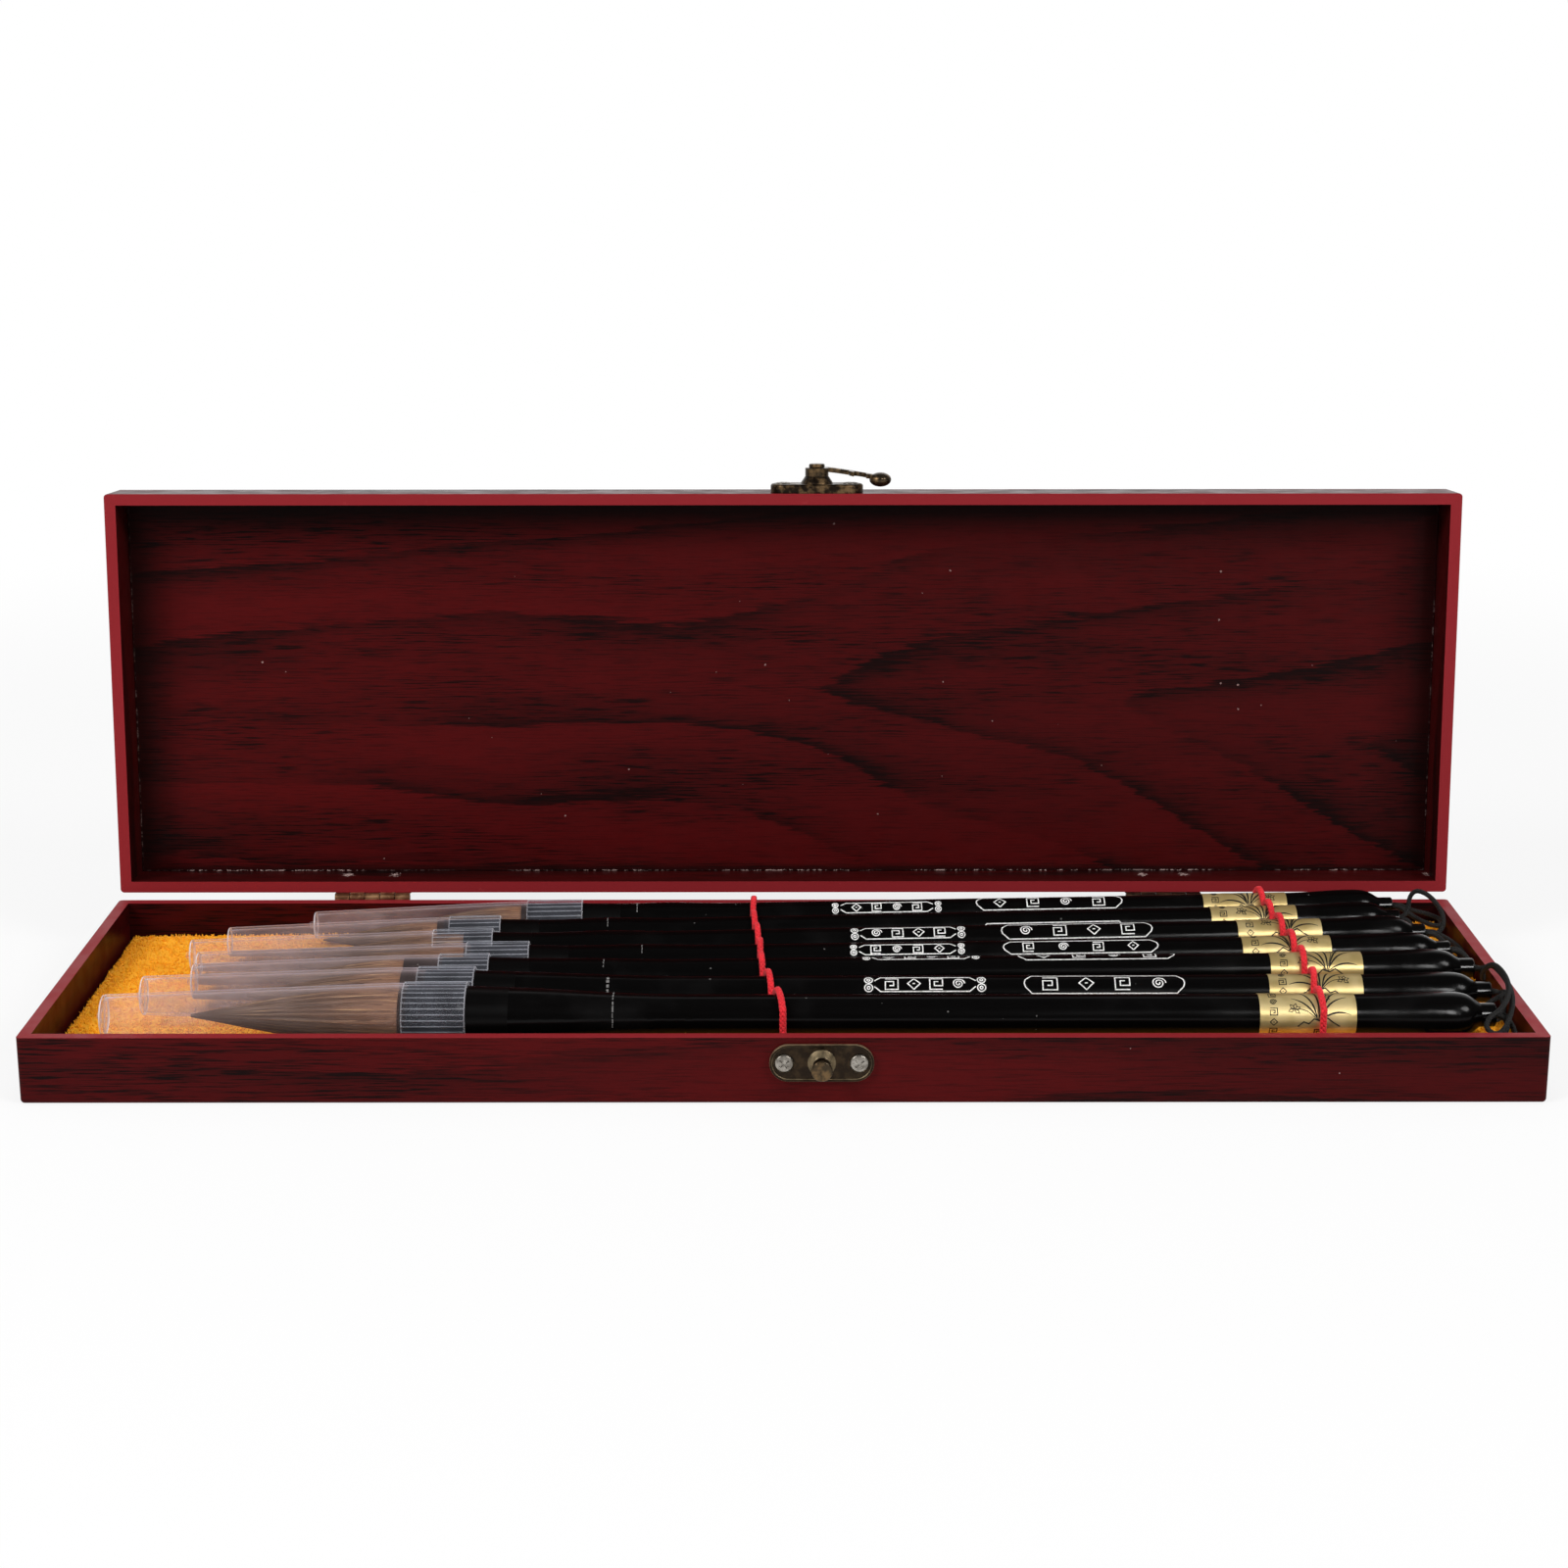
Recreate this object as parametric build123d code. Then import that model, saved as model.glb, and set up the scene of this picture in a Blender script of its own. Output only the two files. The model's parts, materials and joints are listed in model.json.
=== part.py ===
from build123d import *
import os
from math import acos, atan2, cos, hypot, pi, radians, sin, sqrt, tan

os.makedirs("parts", exist_ok=True)

# A hinged box of seven capped writing brushes, in millimetres. X runs along the box, Y to the back and
# Z up. The origin is under the middle of the base. The lid stands open.

# The box
box_length = 360.0
box_depth = 108.0
wall = 3.0
base_height = 16.5
lid_height = 16.5
rim_gap = 0.4  # between the two rims when the lid is shut
edge_radius = 1.0  # outer edges of both trays
lid_open_angle = 94.74  # from shut

# The hinges, on the outside of the back walls
hinge_left_inset = 68.4  # from the box's left end to the middle of the hinge
hinge_right_inset = 76.8
hinge_width = 20.4
knuckle_count = 5
knuckle_radius = 1.3
knuckle_play = 0.1  # at each side of a knuckle
hinge_pin_radius = 0.65
hinge_pin_clearance = 0.05
hinge_offset = 1.4  # from the back wall's face to the pin's axis
leaf_thickness = 0.6
leaf_room = 0.4  # between a leaf's plate and the knuckles
leaf_reach = 9.8  # from the pin's axis to the leaf's far edge
leaf_screw_inset = 3.2  # from the leaf's far edge to its screws
leaf_screw_spacing = 12.0
leaf_screw_shank = 0.8
leaf_screw_head = 1.5
leaf_screw_head_height = 0.5
leaf_screw_length = 2.0  # in the wall

# The latch, on the outside of the front walls
latch_x = 9.0
latch_plate_length = 24.6
latch_plate_width = 9.1
catch_from_rim = 6.05  # from the base's rim to the catch pin
pivot_from_rim = 5.0  # from the lid's rim to the hook's rivet
latch_screw_spacing = 17.7
latch_screw_head = 2.15
latch_screw_head_height = 0.9
latch_screw_shank = 1.1
latch_screw_length = 2.2  # in the wall
screw_recess_room = 0.15
screw_clearance = 0.03
catch_plate_thickness = 0.9
catch_rim_height = 0.3
catch_rim_width = 0.6
catch_boss_radius = 3.35
catch_boss_top_radius = 2.1
catch_boss_top = 3.0  # from the wall
catch_stem_radius = 1.1
catch_neck_radius = 1.5
catch_neck_top = 5.8
catch_head_radius = 2.5
catch_head_height = 0.9
hook_plate_thickness = 2.4
hook_plate_rounding = 0.7
hook_boss_radius = 4.4
hook_boss_top_radius = 3.2
hook_boss_top = 4.2
hook_boss_gap = 0.1
hook_eye_radius = 3.1
hook_eye_top = 6.5
hook_arm_thickness = 1.2
hook_arm_width = 2.8
hook_arm_bow = 3.0
hook_arm_drop = 2.0  # from the eye to the ball
hook_claw_wall = 1.35
hook_notch_room = 0.15
hook_ball_reach = 16.9
hook_ball_radius = 2.9
hook_ball_height = 3.8
hook_ball_low = 1.5  # from the wall to the ball's underside
rivet_radius = 1.2
rivet_clearance = 0.06
rivet_head_radius = 2.1
rivet_head_height = 1.0
rivet_head_gap = 0.1

# The padded insert in the base
pad_side_gap = 1.0
pad_height_left = 4.93  # at the pad's left end, over the floor panel
pad_height_right = 8.7
fleece_thickness = 1.5
fleece_rounding = 1.2

# The brushes. Each lies on the pad at two places: under its cap's collar and where its dome begins.
head_station_inset = 92.0  # from the inner left wall to where the brushes' heads are spaced out
tail_station_inset = 52.0  # from the inner right wall to where their tails are
brush_rest_gap = 0.3
cap_fit = 0.1
cap_wall = 0.6
collar_wall = 0.8
cap_nib_radius = 0.9
cap_nib_length = 1.2
cap_end_thickness = 0.8
cap_end_rounding = 0.5
cap_shoulder_room = 2.0  # straight bore beyond the ferrule's mouth
hair_root_depth = 8.0
hair_rim = 0.6  # ferrule's wall round the hair
hair_fit = 0.05
hair_point_radius = 0.12
ferrule_sleeve = 10.0  # ferrule that shows beyond the collar
ferrule_taper = 0.35
spigot_radius = 2.6
spigot_length = 7.0
spigot_fit = 0.05
neck_swell = 0.45  # at the handle's ring, over the barrel
neck_run_out = 20.0  # from the ring to the straight barrel
tail_swell = 0.55  # at the dome's start, over the barrel
tail_swell_gap = 1.0  # from the label to where the handle starts to swell
dome_length = 8.5
plug_share = 0.57  # the plug's radius over the barrel's
plug_length = 3.6
plug_spigot_radius = 1.5
plug_spigot_length = 5.0
label_thickness = 0.1
label_gap = 0.03

# Front to back: ferrule, barrel and cap end radii, the cap's end to the inner left wall, the cap's and
# its collar's lengths, how far the ferrule leads the collar, the hair's length, the cap's mouth to the
# handle's ring, the plug's end to the inner right wall, the label's length, its distance from the dome's
# end, and how far the ties hold the tail up off the pad.
brush_fields = (
    "ferrule", "barrel", "cap_end", "cap_gap", "cap_length", "collar",
    "lead", "hair", "ring", "tail_gap", "label", "label_inset", "tail_lift",
)
brush_sizes = (
    (7.1, 5.00, 5.1, 14.4, 87.3, 15.2, 0.5, 51.5, 34.7, 7.3, 22.9, 30.2, 0.0),
    (6.0, 4.40, 4.8, 19.9, 81.7, 14.0, 4.0, 39.0, 31.9, 4.0, 22.8, 28.2, 0.0),
    (5.35, 4.30, 4.4, 29.6, 74.1, 12.6, 8.6, 33.0, 28.4, 3.8, 23.1, 24.9, 0.0),
    (4.8, 4.05, 4.2, 28.3, 84.2, 16.0, 0.5, 42.0, 28.4, 6.2, 22.7, 27.5, 0.0),
    (4.65, 4.05, 4.1, 24.4, 77.7, 15.5, -8.0, 38.0, 28.0, 9.4, 21.9, 24.1, 0.0),
    (4.55, 3.90, 3.8, 31.9, 71.1, 13.5, 3.0, 30.0, 27.6, 13.6, 22.7, 24.3, 0.4),
    (4.55, 3.90, 3.5, 52.2, 71.4, 14.8, 1.5, 29.0, 20.0, 13.8, 22.3, 25.2, 1.0),
)
brushes = [dict(zip(brush_fields, sizes)) for sizes in brush_sizes]
# How the free depth is shared out between the walls and the brushes, front to back
head_gap_shares = (2.5, 3.2, 0.65, 0.65, 0.55, 0.4, 1.9, 5.55)
tail_gap_shares = (5.2, 8.6, 8.9, 6.45, 5.9, 3.85, 1.8, 2.1)

# The two red tie cords
tie_radius = 0.8
tie_gap = 0.1
tie_dip_radius = 1.6
tie_dip_run = 0.8
tie_hole_room = 0.15
tie_end_gap = 0.6  # from the floor panel to the cord's ends
left_tie = (-2.0, -8.0)  # X at the front brush and at the back one
right_tie_insets = (48.2, 48.8)  # from the inner right wall, at the front and back brushes

# The hanging loops. Both ends run straight out of the plug; the points between are from its end's middle.
loop_radius = 0.7
loop_leg = 0.8  # from the plug's axis to each end of the loop
loop_out = 1.6
loop_routes = (
    (
        (2.6, -2.2, -1.0), (2.2, -4.2, -3.0), (-1.0, -4.9, -4.4), (-7.0, -5.0, -4.7), (-13.0, -5.1, -4.7),
        (-16.6, -5.3, -4.7), (-16.8, -8.7, -4.7), (-13.0, -9.0, -4.7), (-7.0, -9.0, -4.6),
        (-0.8, -8.9, -4.5), (3.2, -7.6, -4.4), (4.3, -4.4, -3.8), (4.1, -1.2, -2.2), (3.0, 0.6, -0.6),
    ),
    (
        (2.7, -2.2, 0.7), (2.3, -5.6, 2.0), (0.9, -9.4, 2.5), (-1.6, -11.0, 2.0), (-4.0, -11.0, 0.2),
        (-5.0, -10.8, -2.2), (-3.8, -10.4, -3.9), (-0.6, -9.4, -4.1), (1.6, -7.0, -4.0),
        (2.8, -4.0, -3.6), (3.1, -1.0, -2.4), (2.9, 0.9, -0.9),
    ),
    (
        (2.6, -2.4, 0.9), (2.8, -6.4, 2.9), (2.7, -11.5, 3.9), (2.8, -17.5, 4.2), (2.7, -24.0, 4.1),
        (2.1, -30.0, 3.7), (1.2, -34.6, 2.9), (-0.2, -38.6, 1.5), (-2.0, -42.2, -0.7), (-4.9, -44.3, -1.8),
        (-7.3, -43.8, -0.2), (-6.3, -41.9, 1.7), (-3.4, -40.1, 2.9), (-0.9, -36.8, 4.0), (1.0, -31.6, 4.9),
        (1.9, -25.6, 5.8), (2.1, -19.1, 6.0), (1.9, -13.5, 5.5), (1.1, -10.0, 4.0), (0.8, -7.0, 1.5),
        (1.2, -5.0, -0.5), (2.0, -3.2, -1.9), (2.8, -0.2, -2.0),
    ),
    (
        (3.4, -2.2, -0.5), (4.2, -5.4, -1.6), (2.2, -8.6, -2.6), (-2.2, -9.6, -3.1), (-7.2, -9.4, -3.3),
        (-11.2, -8.0, -3.4), (-11.2, -4.9, -3.4), (-6.8, -3.9, -3.2), (-2.0, -3.8, -3.2),
        (2.6, -2.8, -3.2), (4.4, 0.2, -2.6), (3.4, 1.9, -1.0),
    ),
    (
        (3.8, -2.0, -0.8), (5.0, -5.2, -2.4), (4.9, -8.6, -3.1), (5.4, -11.8, -3.3), (8.2, -12.0, -3.3),
        (8.6, -8.8, -3.2), (8.6, -4.4, -3.1), (8.0, -0.4, -2.9), (5.9, 2.2, -2.0), (3.4, 1.9, -0.7),
    ),
    (
        (2.9, -1.6, -1.2), (4.6, -4.0, -2.4), (6.8, -7.2, -2.6), (9.6, -8.4, -1.0), (10.6, -6.2, 1.6),
        (9.8, -2.8, 4.2), (7.4, 0.4, 6.5), (4.6, 2.6, 7.0), (3.1, 3.1, 4.6), (3.0, 2.2, 1.6),
    ),
    (
        (3.6, -2.0, -1.0), (6.4, -4.4, -2.6), (9.2, -7.2, -3.2), (11.8, -8.0, -3.3), (12.8, -5.0, -3.3),
        (12.7, -0.6, -3.3), (10.0, 3.0, -3.2), (5.6, 3.3, -2.2), (3.4, 1.9, -0.7),
    ),
)

# Worked out from the sizes above
inner_length = box_length - 2 * wall
inner_depth = box_depth - 2 * wall
front_face = -box_depth / 2
back_face = box_depth / 2
lid_rim = base_height + rim_gap
hinge_y = back_face + hinge_offset
hinge_z = base_height + rim_gap / 2
hinge_centres = (-box_length / 2 + hinge_left_inset, box_length / 2 - hinge_right_inset)
hinge_axis = Axis((0, hinge_y, hinge_z), (1, 0, 0))
catch_z = base_height - catch_from_rim
pivot_z = lid_rim + pivot_from_rim
pin_reach = pivot_z - catch_z  # from the rivet to the catch pin when the lid is shut
pad_length = inner_length - 2 * pad_side_gap
pad_depth = inner_depth - 2 * pad_side_gap


def block(x0, x1, y0, y1, z0, z1):
    return Pos((x0 + x1) / 2, (y0 + y1) / 2, (z0 + z1) / 2) * Box(x1 - x0, y1 - y0, z1 - z0)


def rod(radius, start, end):
    # a cylinder from one point to another
    start, end = Vector(start), Vector(end)
    across = Plane(origin=start, z_dir=end - start)
    return extrude(across * Circle(radius), (end - start).length)


def turned(profile):
    # a solid of revolution about the X axis, from a closed outline of (x, radius) points
    return revolve(make_face(Polyline(*profile, close=True)), Axis.X)


def opened(shape):
    return shape.rotate(hinge_axis, -lid_open_angle)


def save(shape, node):
    export_step(shape, f"parts/{node}.step")


# --- Trays ---------------------------------------------------------------------------------------


def tray_panels(height):
    # four mitred walls and the panel let in between them, of a tray that stands on Z = 0
    outer = Box(box_length, box_depth, height, align=(Align.CENTER, Align.CENTER, Align.MIN))
    rim_edges = outer.edges().group_by(Axis.Z)[-1]
    outer = fillet([edge for edge in outer.edges() if edge not in rim_edges], edge_radius)
    ring = outer - Box(inner_length, inner_depth, 3 * height)
    half_length, half_depth = box_length / 2, box_depth / 2
    long_wedge = Polygon(
        (-half_length, -half_depth), (half_length, -half_depth),
        (half_length - half_depth, 0), (half_depth - half_length, 0), align=None,
    )
    side_wedge = Polygon(
        (-half_length, -half_depth), (half_depth - half_length, 0), (-half_length, half_depth), align=None,
    )
    front_cutter, left_cutter = extrude(long_wedge, height), extrude(side_wedge, height)
    return {
        "front_wall": ring & front_cutter,
        "back_wall": ring & mirror(front_cutter, Plane.XZ),
        "left_wall": ring & left_cutter,
        "right_wall": ring & mirror(left_cutter, Plane.YZ),
        "panel": block(-inner_length / 2, inner_length / 2, -inner_depth / 2, inner_depth / 2, 0, wall),
    }


base = tray_panels(base_height)
lid = {
    name: Pos(0, 0, lid_rim + lid_height) * mirror(panel, Plane.XY)
    for name, panel in tray_panels(lid_height).items()
}

# --- Hinges --------------------------------------------------------------------------------------

knuckle_width = hinge_width / knuckle_count
leaf_screw_z = leaf_reach - leaf_screw_inset


def hinge_leaf(centre, up, slots):
    # up is 1 for the lid's leaf and -1 for the base's
    left = centre - hinge_width / 2
    near, far = hinge_z + up * (knuckle_radius + leaf_room), hinge_z + up * leaf_reach
    outside = back_face + leaf_thickness
    leaf = block(left, left + hinge_width, back_face, outside, min(near, far), max(near, far))
    for slot in slots:
        start = left + slot * knuckle_width + knuckle_play
        end = left + (slot + 1) * knuckle_width - knuckle_play
        leaf += block(start, end, back_face, outside, min(hinge_z, near), max(hinge_z, near))
        leaf += rod(knuckle_radius, (start, hinge_y, hinge_z), (end, hinge_y, hinge_z))
    bore = hinge_pin_radius + hinge_pin_clearance
    leaf -= rod(bore, (left - 1, hinge_y, hinge_z), (left + hinge_width + 1, hinge_y, hinge_z))
    for x, z in leaf_screw_places(centre, up):
        leaf -= rod(leaf_screw_shank + screw_clearance, (x, back_face - 1, z), (x, outside + 1, z))
    return leaf


def leaf_screw_places(centre, up):
    z = hinge_z + up * leaf_screw_z
    return [(centre + side * leaf_screw_spacing / 2, z) for side in (-1, 1)]


def leaf_screw(x, z):
    head_seat = back_face + leaf_thickness
    shank = rod(leaf_screw_shank, (x, back_face - leaf_screw_length, z), (x, head_seat, z))
    head = rod(leaf_screw_head, (x, head_seat, z), (x, head_seat + leaf_screw_head_height, z))
    return shank + fillet(head.edges().group_by(Axis.Y)[-1], leaf_screw_head_height * 0.6)


def leaf_screw_hole(x, z):
    deep = back_face - leaf_screw_length - screw_clearance
    return rod(leaf_screw_shank + screw_clearance, (x, deep, z), (x, back_face + 1, z))


base_slots = range(0, knuckle_count, 2)
lid_slots = range(1, knuckle_count, 2)
base_leaf_screws, lid_leaf_screws = [], []
for side, centre in zip(("left", "right"), hinge_centres):
    save(hinge_leaf(centre, -1, base_slots), f"{side}_hinge_base_leaf")
    save(opened(hinge_leaf(centre, 1, lid_slots)), f"{side}_hinge_lid_leaf")
    ends = [(centre + end * hinge_width / 2, hinge_y, hinge_z) for end in (-1, 1)]
    save(rod(hinge_pin_radius, *ends), f"{side}_hinge_pin")
    for x, z in leaf_screw_places(centre, -1):
        base["back_wall"] -= leaf_screw_hole(x, z)
        base_leaf_screws.append(leaf_screw(x, z))
    for x, z in leaf_screw_places(centre, 1):
        lid["back_wall"] -= leaf_screw_hole(x, z)
        lid_leaf_screws.append(opened(leaf_screw(x, z)))
save(Compound(base_leaf_screws), "hinge_base_screws")
save(Compound(lid_leaf_screws), "hinge_lid_screws")

# --- Latch ---------------------------------------------------------------------------------------
# Built flat, with X along the box, Y up the wall and Z out of it, and then set on the front wall.


def on_front(shape, z):
    seat = Plane(origin=(latch_x, front_face, z), x_dir=(1, 0, 0), z_dir=(0, -1, 0))
    return shape.moved(seat.location)


def latch_screw(x, seat):
    # a cross-head screw whose head's underside is at the seat's height
    head = Pos(x, 0, seat) * extrude(Circle(latch_screw_head), latch_screw_head_height)
    head = fillet(head.edges().group_by(Axis.Z)[-1], latch_screw_head_height * 0.5)
    cross_length, cross_width = latch_screw_head * 1.25, latch_screw_head * 0.3
    cross = Box(cross_length, cross_width, latch_screw_head_height)
    cross += Box(cross_width, cross_length, latch_screw_head_height)
    head -= Pos(x, 0, seat + latch_screw_head_height) * Rot(0, 0, 40) * cross
    return head + rod(latch_screw_shank, (x, 0, -latch_screw_length), (x, 0, seat))


def screw_room(x, seat):
    hole = rod(latch_screw_shank + screw_clearance, (x, 0, -latch_screw_length - screw_clearance), (x, 0, seat))
    return hole + rod(latch_screw_head + screw_recess_room, (x, 0, seat), (x, 0, seat + 5))


screw_xs = (-latch_screw_spacing / 2, latch_screw_spacing / 2)
plate_outline = SlotOverall(latch_plate_length, latch_plate_width)
catch_seat = catch_plate_thickness / 2
hook_seat = hook_plate_thickness - latch_screw_head_height * 0.7

catch_plate = extrude(plate_outline, catch_plate_thickness + catch_rim_height)
catch_plate -= Pos(0, 0, catch_plate_thickness) * extrude(
    offset(plate_outline, -catch_rim_width), catch_rim_height
)
catch_plate += Pos(0, 0, catch_plate_thickness) * Cone(
    catch_boss_radius, catch_boss_top_radius, catch_boss_top - catch_plate_thickness,
    align=(Align.CENTER, Align.CENTER, Align.MIN),
)
catch_plate -= rod(catch_stem_radius + screw_clearance, (0, 0, -1), (0, 0, catch_boss_top + 1))
catch_pin = rod(catch_stem_radius, (0, 0, 0), (0, 0, catch_boss_top))
catch_pin += rod(catch_neck_radius, (0, 0, catch_boss_top), (0, 0, catch_neck_top))
catch_head = rod(catch_head_radius, (0, 0, catch_neck_top), (0, 0, catch_neck_top + catch_head_height))
catch_pin += fillet(catch_head.edges().group_by(Axis.Z)[-1], catch_head_height * 0.4)

hook_plate = extrude(plate_outline, hook_plate_thickness)
hook_plate = fillet(hook_plate.edges().group_by(Axis.Z)[-1], hook_plate_rounding)
hook_plate += Pos(0, 0, hook_plate_thickness) * Cone(
    hook_boss_radius, hook_boss_top_radius, hook_boss_top - hook_plate_thickness,
    align=(Align.CENTER, Align.CENTER, Align.MIN),
)
hook_plate -= rod(rivet_radius + screw_clearance, (0, 0, -1), (0, 0, hook_boss_top + 1))
for x in screw_xs:
    catch_plate -= screw_room(x, catch_seat)
    hook_plate -= screw_room(x, hook_seat)
    hole = rod(latch_screw_shank + screw_clearance, (x, 0, -latch_screw_length - screw_clearance), (x, 0, 1))
    base["front_wall"] -= on_front(hole, catch_z)
    lid["front_wall"] -= on_front(hole, pivot_z)

rivet_head_seat = hook_eye_top + rivet_head_gap
rivet = rod(rivet_radius, (0, 0, 0), (0, 0, rivet_head_seat))
rivet_head = rod(rivet_head_radius, (0, 0, rivet_head_seat), (0, 0, rivet_head_seat + rivet_head_height))
rivet += fillet(rivet_head.edges().group_by(Axis.Z)[-1], rivet_head_height * 0.4)


def latch_hook():
    # points along +X; its notch takes the catch pin's neck and opens towards -Y
    notch = catch_neck_radius + hook_notch_room
    claw = notch + hook_claw_wall
    arm_line = ThreePointArc((0, 0), (pin_reach * 0.5, hook_arm_bow), (pin_reach, claw - hook_arm_width / 2))
    plan = Circle(hook_eye_radius) + trace(arm_line, hook_arm_width) + Pos(pin_reach, 0) * Circle(claw)
    plan += Pos((pin_reach + hook_ball_reach) / 2, 0) * Rectangle(hook_ball_reach - pin_reach, 2 * hook_claw_wall)
    plan -= Pos(pin_reach, 0) * Circle(notch)
    plan -= Pos(pin_reach, -claw) * Rectangle(2 * notch, 2 * claw)
    slope_start = hook_eye_radius
    low_top = hook_eye_top - hook_arm_drop
    side_view = Polyline(
        (-hook_eye_radius - 1, hook_eye_top), (slope_start, hook_eye_top), (hook_ball_reach, low_top),
        (hook_ball_reach, low_top - hook_arm_thickness), (slope_start, hook_eye_top - hook_arm_thickness),
        (-hook_eye_radius - 1, hook_eye_top - hook_arm_thickness), close=True,
    )
    slab = extrude(Plane.XZ * make_face(side_view), 10, both=True)
    hook = extrude(plan, hook_eye_top + 1) & slab
    eye_low = hook_boss_top + hook_boss_gap
    hook += rod(hook_eye_radius, (0, 0, eye_low), (0, 0, hook_eye_top))
    ball_middle = hook_ball_low + hook_ball_height / 2
    ball = scale(Sphere(hook_ball_radius), (1, 1, hook_ball_height / 2 / hook_ball_radius))
    hook += Pos(hook_ball_reach, 0, ball_middle) * ball
    return hook - rod(rivet_radius + rivet_clearance, (0, 0, 0), (0, 0, 10))


save(on_front(catch_plate, catch_z), "catch_plate")
save(on_front(catch_pin, catch_z), "catch_pin")
save(Compound([on_front(latch_screw(x, catch_seat), catch_z) for x in screw_xs]), "catch_plate_screws")
save(opened(on_front(hook_plate, pivot_z)), "hook_plate")
save(opened(on_front(rivet, pivot_z)), "hook_rivet")
save(opened(on_front(latch_hook(), pivot_z)), "latch_hook")
save(Compound([opened(on_front(latch_screw(x, hook_seat), pivot_z)) for x in screw_xs]), "hook_plate_screws")

for name, panel in base.items():
    save(panel, f"base_{name}")
for name, panel in lid.items():
    save(opened(panel), f"lid_{name}")

# --- Brush places --------------------------------------------------------------------------------

head_x = -inner_length / 2 + head_station_inset
tail_x = inner_length / 2 - tail_station_inset


def pad_top(x):
    share = (x + pad_length / 2) / pad_length
    return wall + pad_height_left + (pad_height_right - pad_height_left) * share


def collar_radius(brush):
    return brush["ferrule"] + cap_fit + collar_wall


def stacked(radii, shares):
    # the middles of things in a row from the front wall to the back one
    free_depth = inner_depth - 2 * sum(radii)
    middles, y = [], -inner_depth / 2
    for radius, share in zip(radii, shares):
        y += free_depth * share / sum(shares) + radius
        middles.append(y)
        y += radius
    return middles


def brush_stations(brush):
    cap_end = -inner_length / 2 + brush["cap_gap"]
    mouth = cap_end + brush["cap_length"]
    ferrule_front = mouth - brush["collar"] - brush["lead"]
    plug_end = inner_length / 2 - brush["tail_gap"]
    return {
        "cap_end": cap_end,
        "mouth": mouth,
        "collar_start": mouth - brush["collar"],
        "ferrule_front": ferrule_front,
        "ferrule_back": mouth + ferrule_sleeve,
        "dome_start": plug_end - plug_length - dome_length,
        "dome_end": plug_end - plug_length,
        "plug_end": plug_end,
    }


head_radii = [collar_radius(brush) for brush in brushes]
tail_radii = [brush["barrel"] for brush in brushes]
head_ys = stacked(head_radii, head_gap_shares)
tail_ys = stacked(tail_radii, tail_gap_shares)
for brush, head_y, tail_y in zip(brushes, head_ys, tail_ys):
    rest_x = brush_stations(brush)["dome_start"]
    head_z = pad_top(head_x) + brush_rest_gap + collar_radius(brush)
    rest_z = pad_top(rest_x) + brush_rest_gap + brush["tail_lift"] + brush["barrel"] + tail_swell
    rise = (rest_z - head_z) / (rest_x - head_x)
    brush["head"] = Vector(head_x, head_y, head_z)
    brush["tail"] = Vector(tail_x, tail_y, head_z + rise * (tail_x - head_x))
    brush["along"] = (brush["tail"] - brush["head"]).normalized()


def axis_point(brush, x):
    # the point of the brush's axis at this X
    return brush["head"] + brush["along"] * ((x - head_x) / brush["along"].X)


def along_brush(brush, shape):
    # from the X axis to the brush's own axis, with the same distance along it
    side = Vector(0, 0, 1).cross(brush["along"]).normalized()
    seat = Plane(origin=axis_point(brush, 0), x_dir=brush["along"], z_dir=brush["along"].cross(side))
    return shape.moved(seat.location)


# --- Brushes -------------------------------------------------------------------------------------


def cap(brush, at):
    bore = brush["ferrule"] + cap_fit
    shoulder = at["ferrule_front"] - cap_shoulder_room
    inside = at["cap_end"] + cap_end_thickness
    end_radius = brush["cap_end"]
    outside_points = [
        (at["cap_end"] - cap_nib_length, 0), (at["cap_end"] - cap_nib_length, cap_nib_radius),
        (at["cap_end"], cap_nib_radius), (at["cap_end"], end_radius - cap_end_rounding),
        (at["cap_end"] + cap_end_rounding, end_radius), (shoulder, bore + cap_wall),
    ]
    if shoulder < at["collar_start"]:
        outside_points.append((at["collar_start"], bore + cap_wall))
    start = max(shoulder, at["collar_start"])
    outside_points += [(start, bore + collar_wall), (at["mouth"], bore + collar_wall)]
    bore_points = [
        (at["mouth"], bore), (shoulder, bore), (inside, end_radius - cap_wall), (inside, 0),
    ]
    return turned(outside_points + bore_points)


def hair(brush, at):
    front, length = at["ferrule_front"], brush["hair"]
    root = brush["ferrule"] - hair_rim
    belly = [(0.0, 1.0), (0.15, 0.99), (0.35, 0.86), (0.55, 0.65), (0.75, 0.38), (0.92, 0.13)]
    points = [(front - length * share, root * width) for share, width in belly]
    points.append((front - length, hair_point_radius))
    curve = Spline(*points)
    socket = root - hair_fit
    rest = Polyline(
        (front - length, hair_point_radius), (front - length, 0), (front + hair_root_depth, 0),
        (front + hair_root_depth, socket), (front, socket), (front, root),
    )
    return revolve(make_face(curve + rest), Axis.X)


def ferrule(brush, at):
    radius, back = brush["ferrule"], at["ferrule_back"]
    socket = radius - hair_rim
    front = at["ferrule_front"]
    root_end = front + hair_root_depth + hair_fit
    peg = spigot_radius + spigot_fit
    return turned([
        (front, socket), (front, radius), (at["mouth"], radius), (back, radius - ferrule_taper),
        (back, peg), (back - spigot_length - spigot_fit, peg), (back - spigot_length - spigot_fit, 0),
        (root_end, 0), (root_end, socket),
    ])


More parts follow.
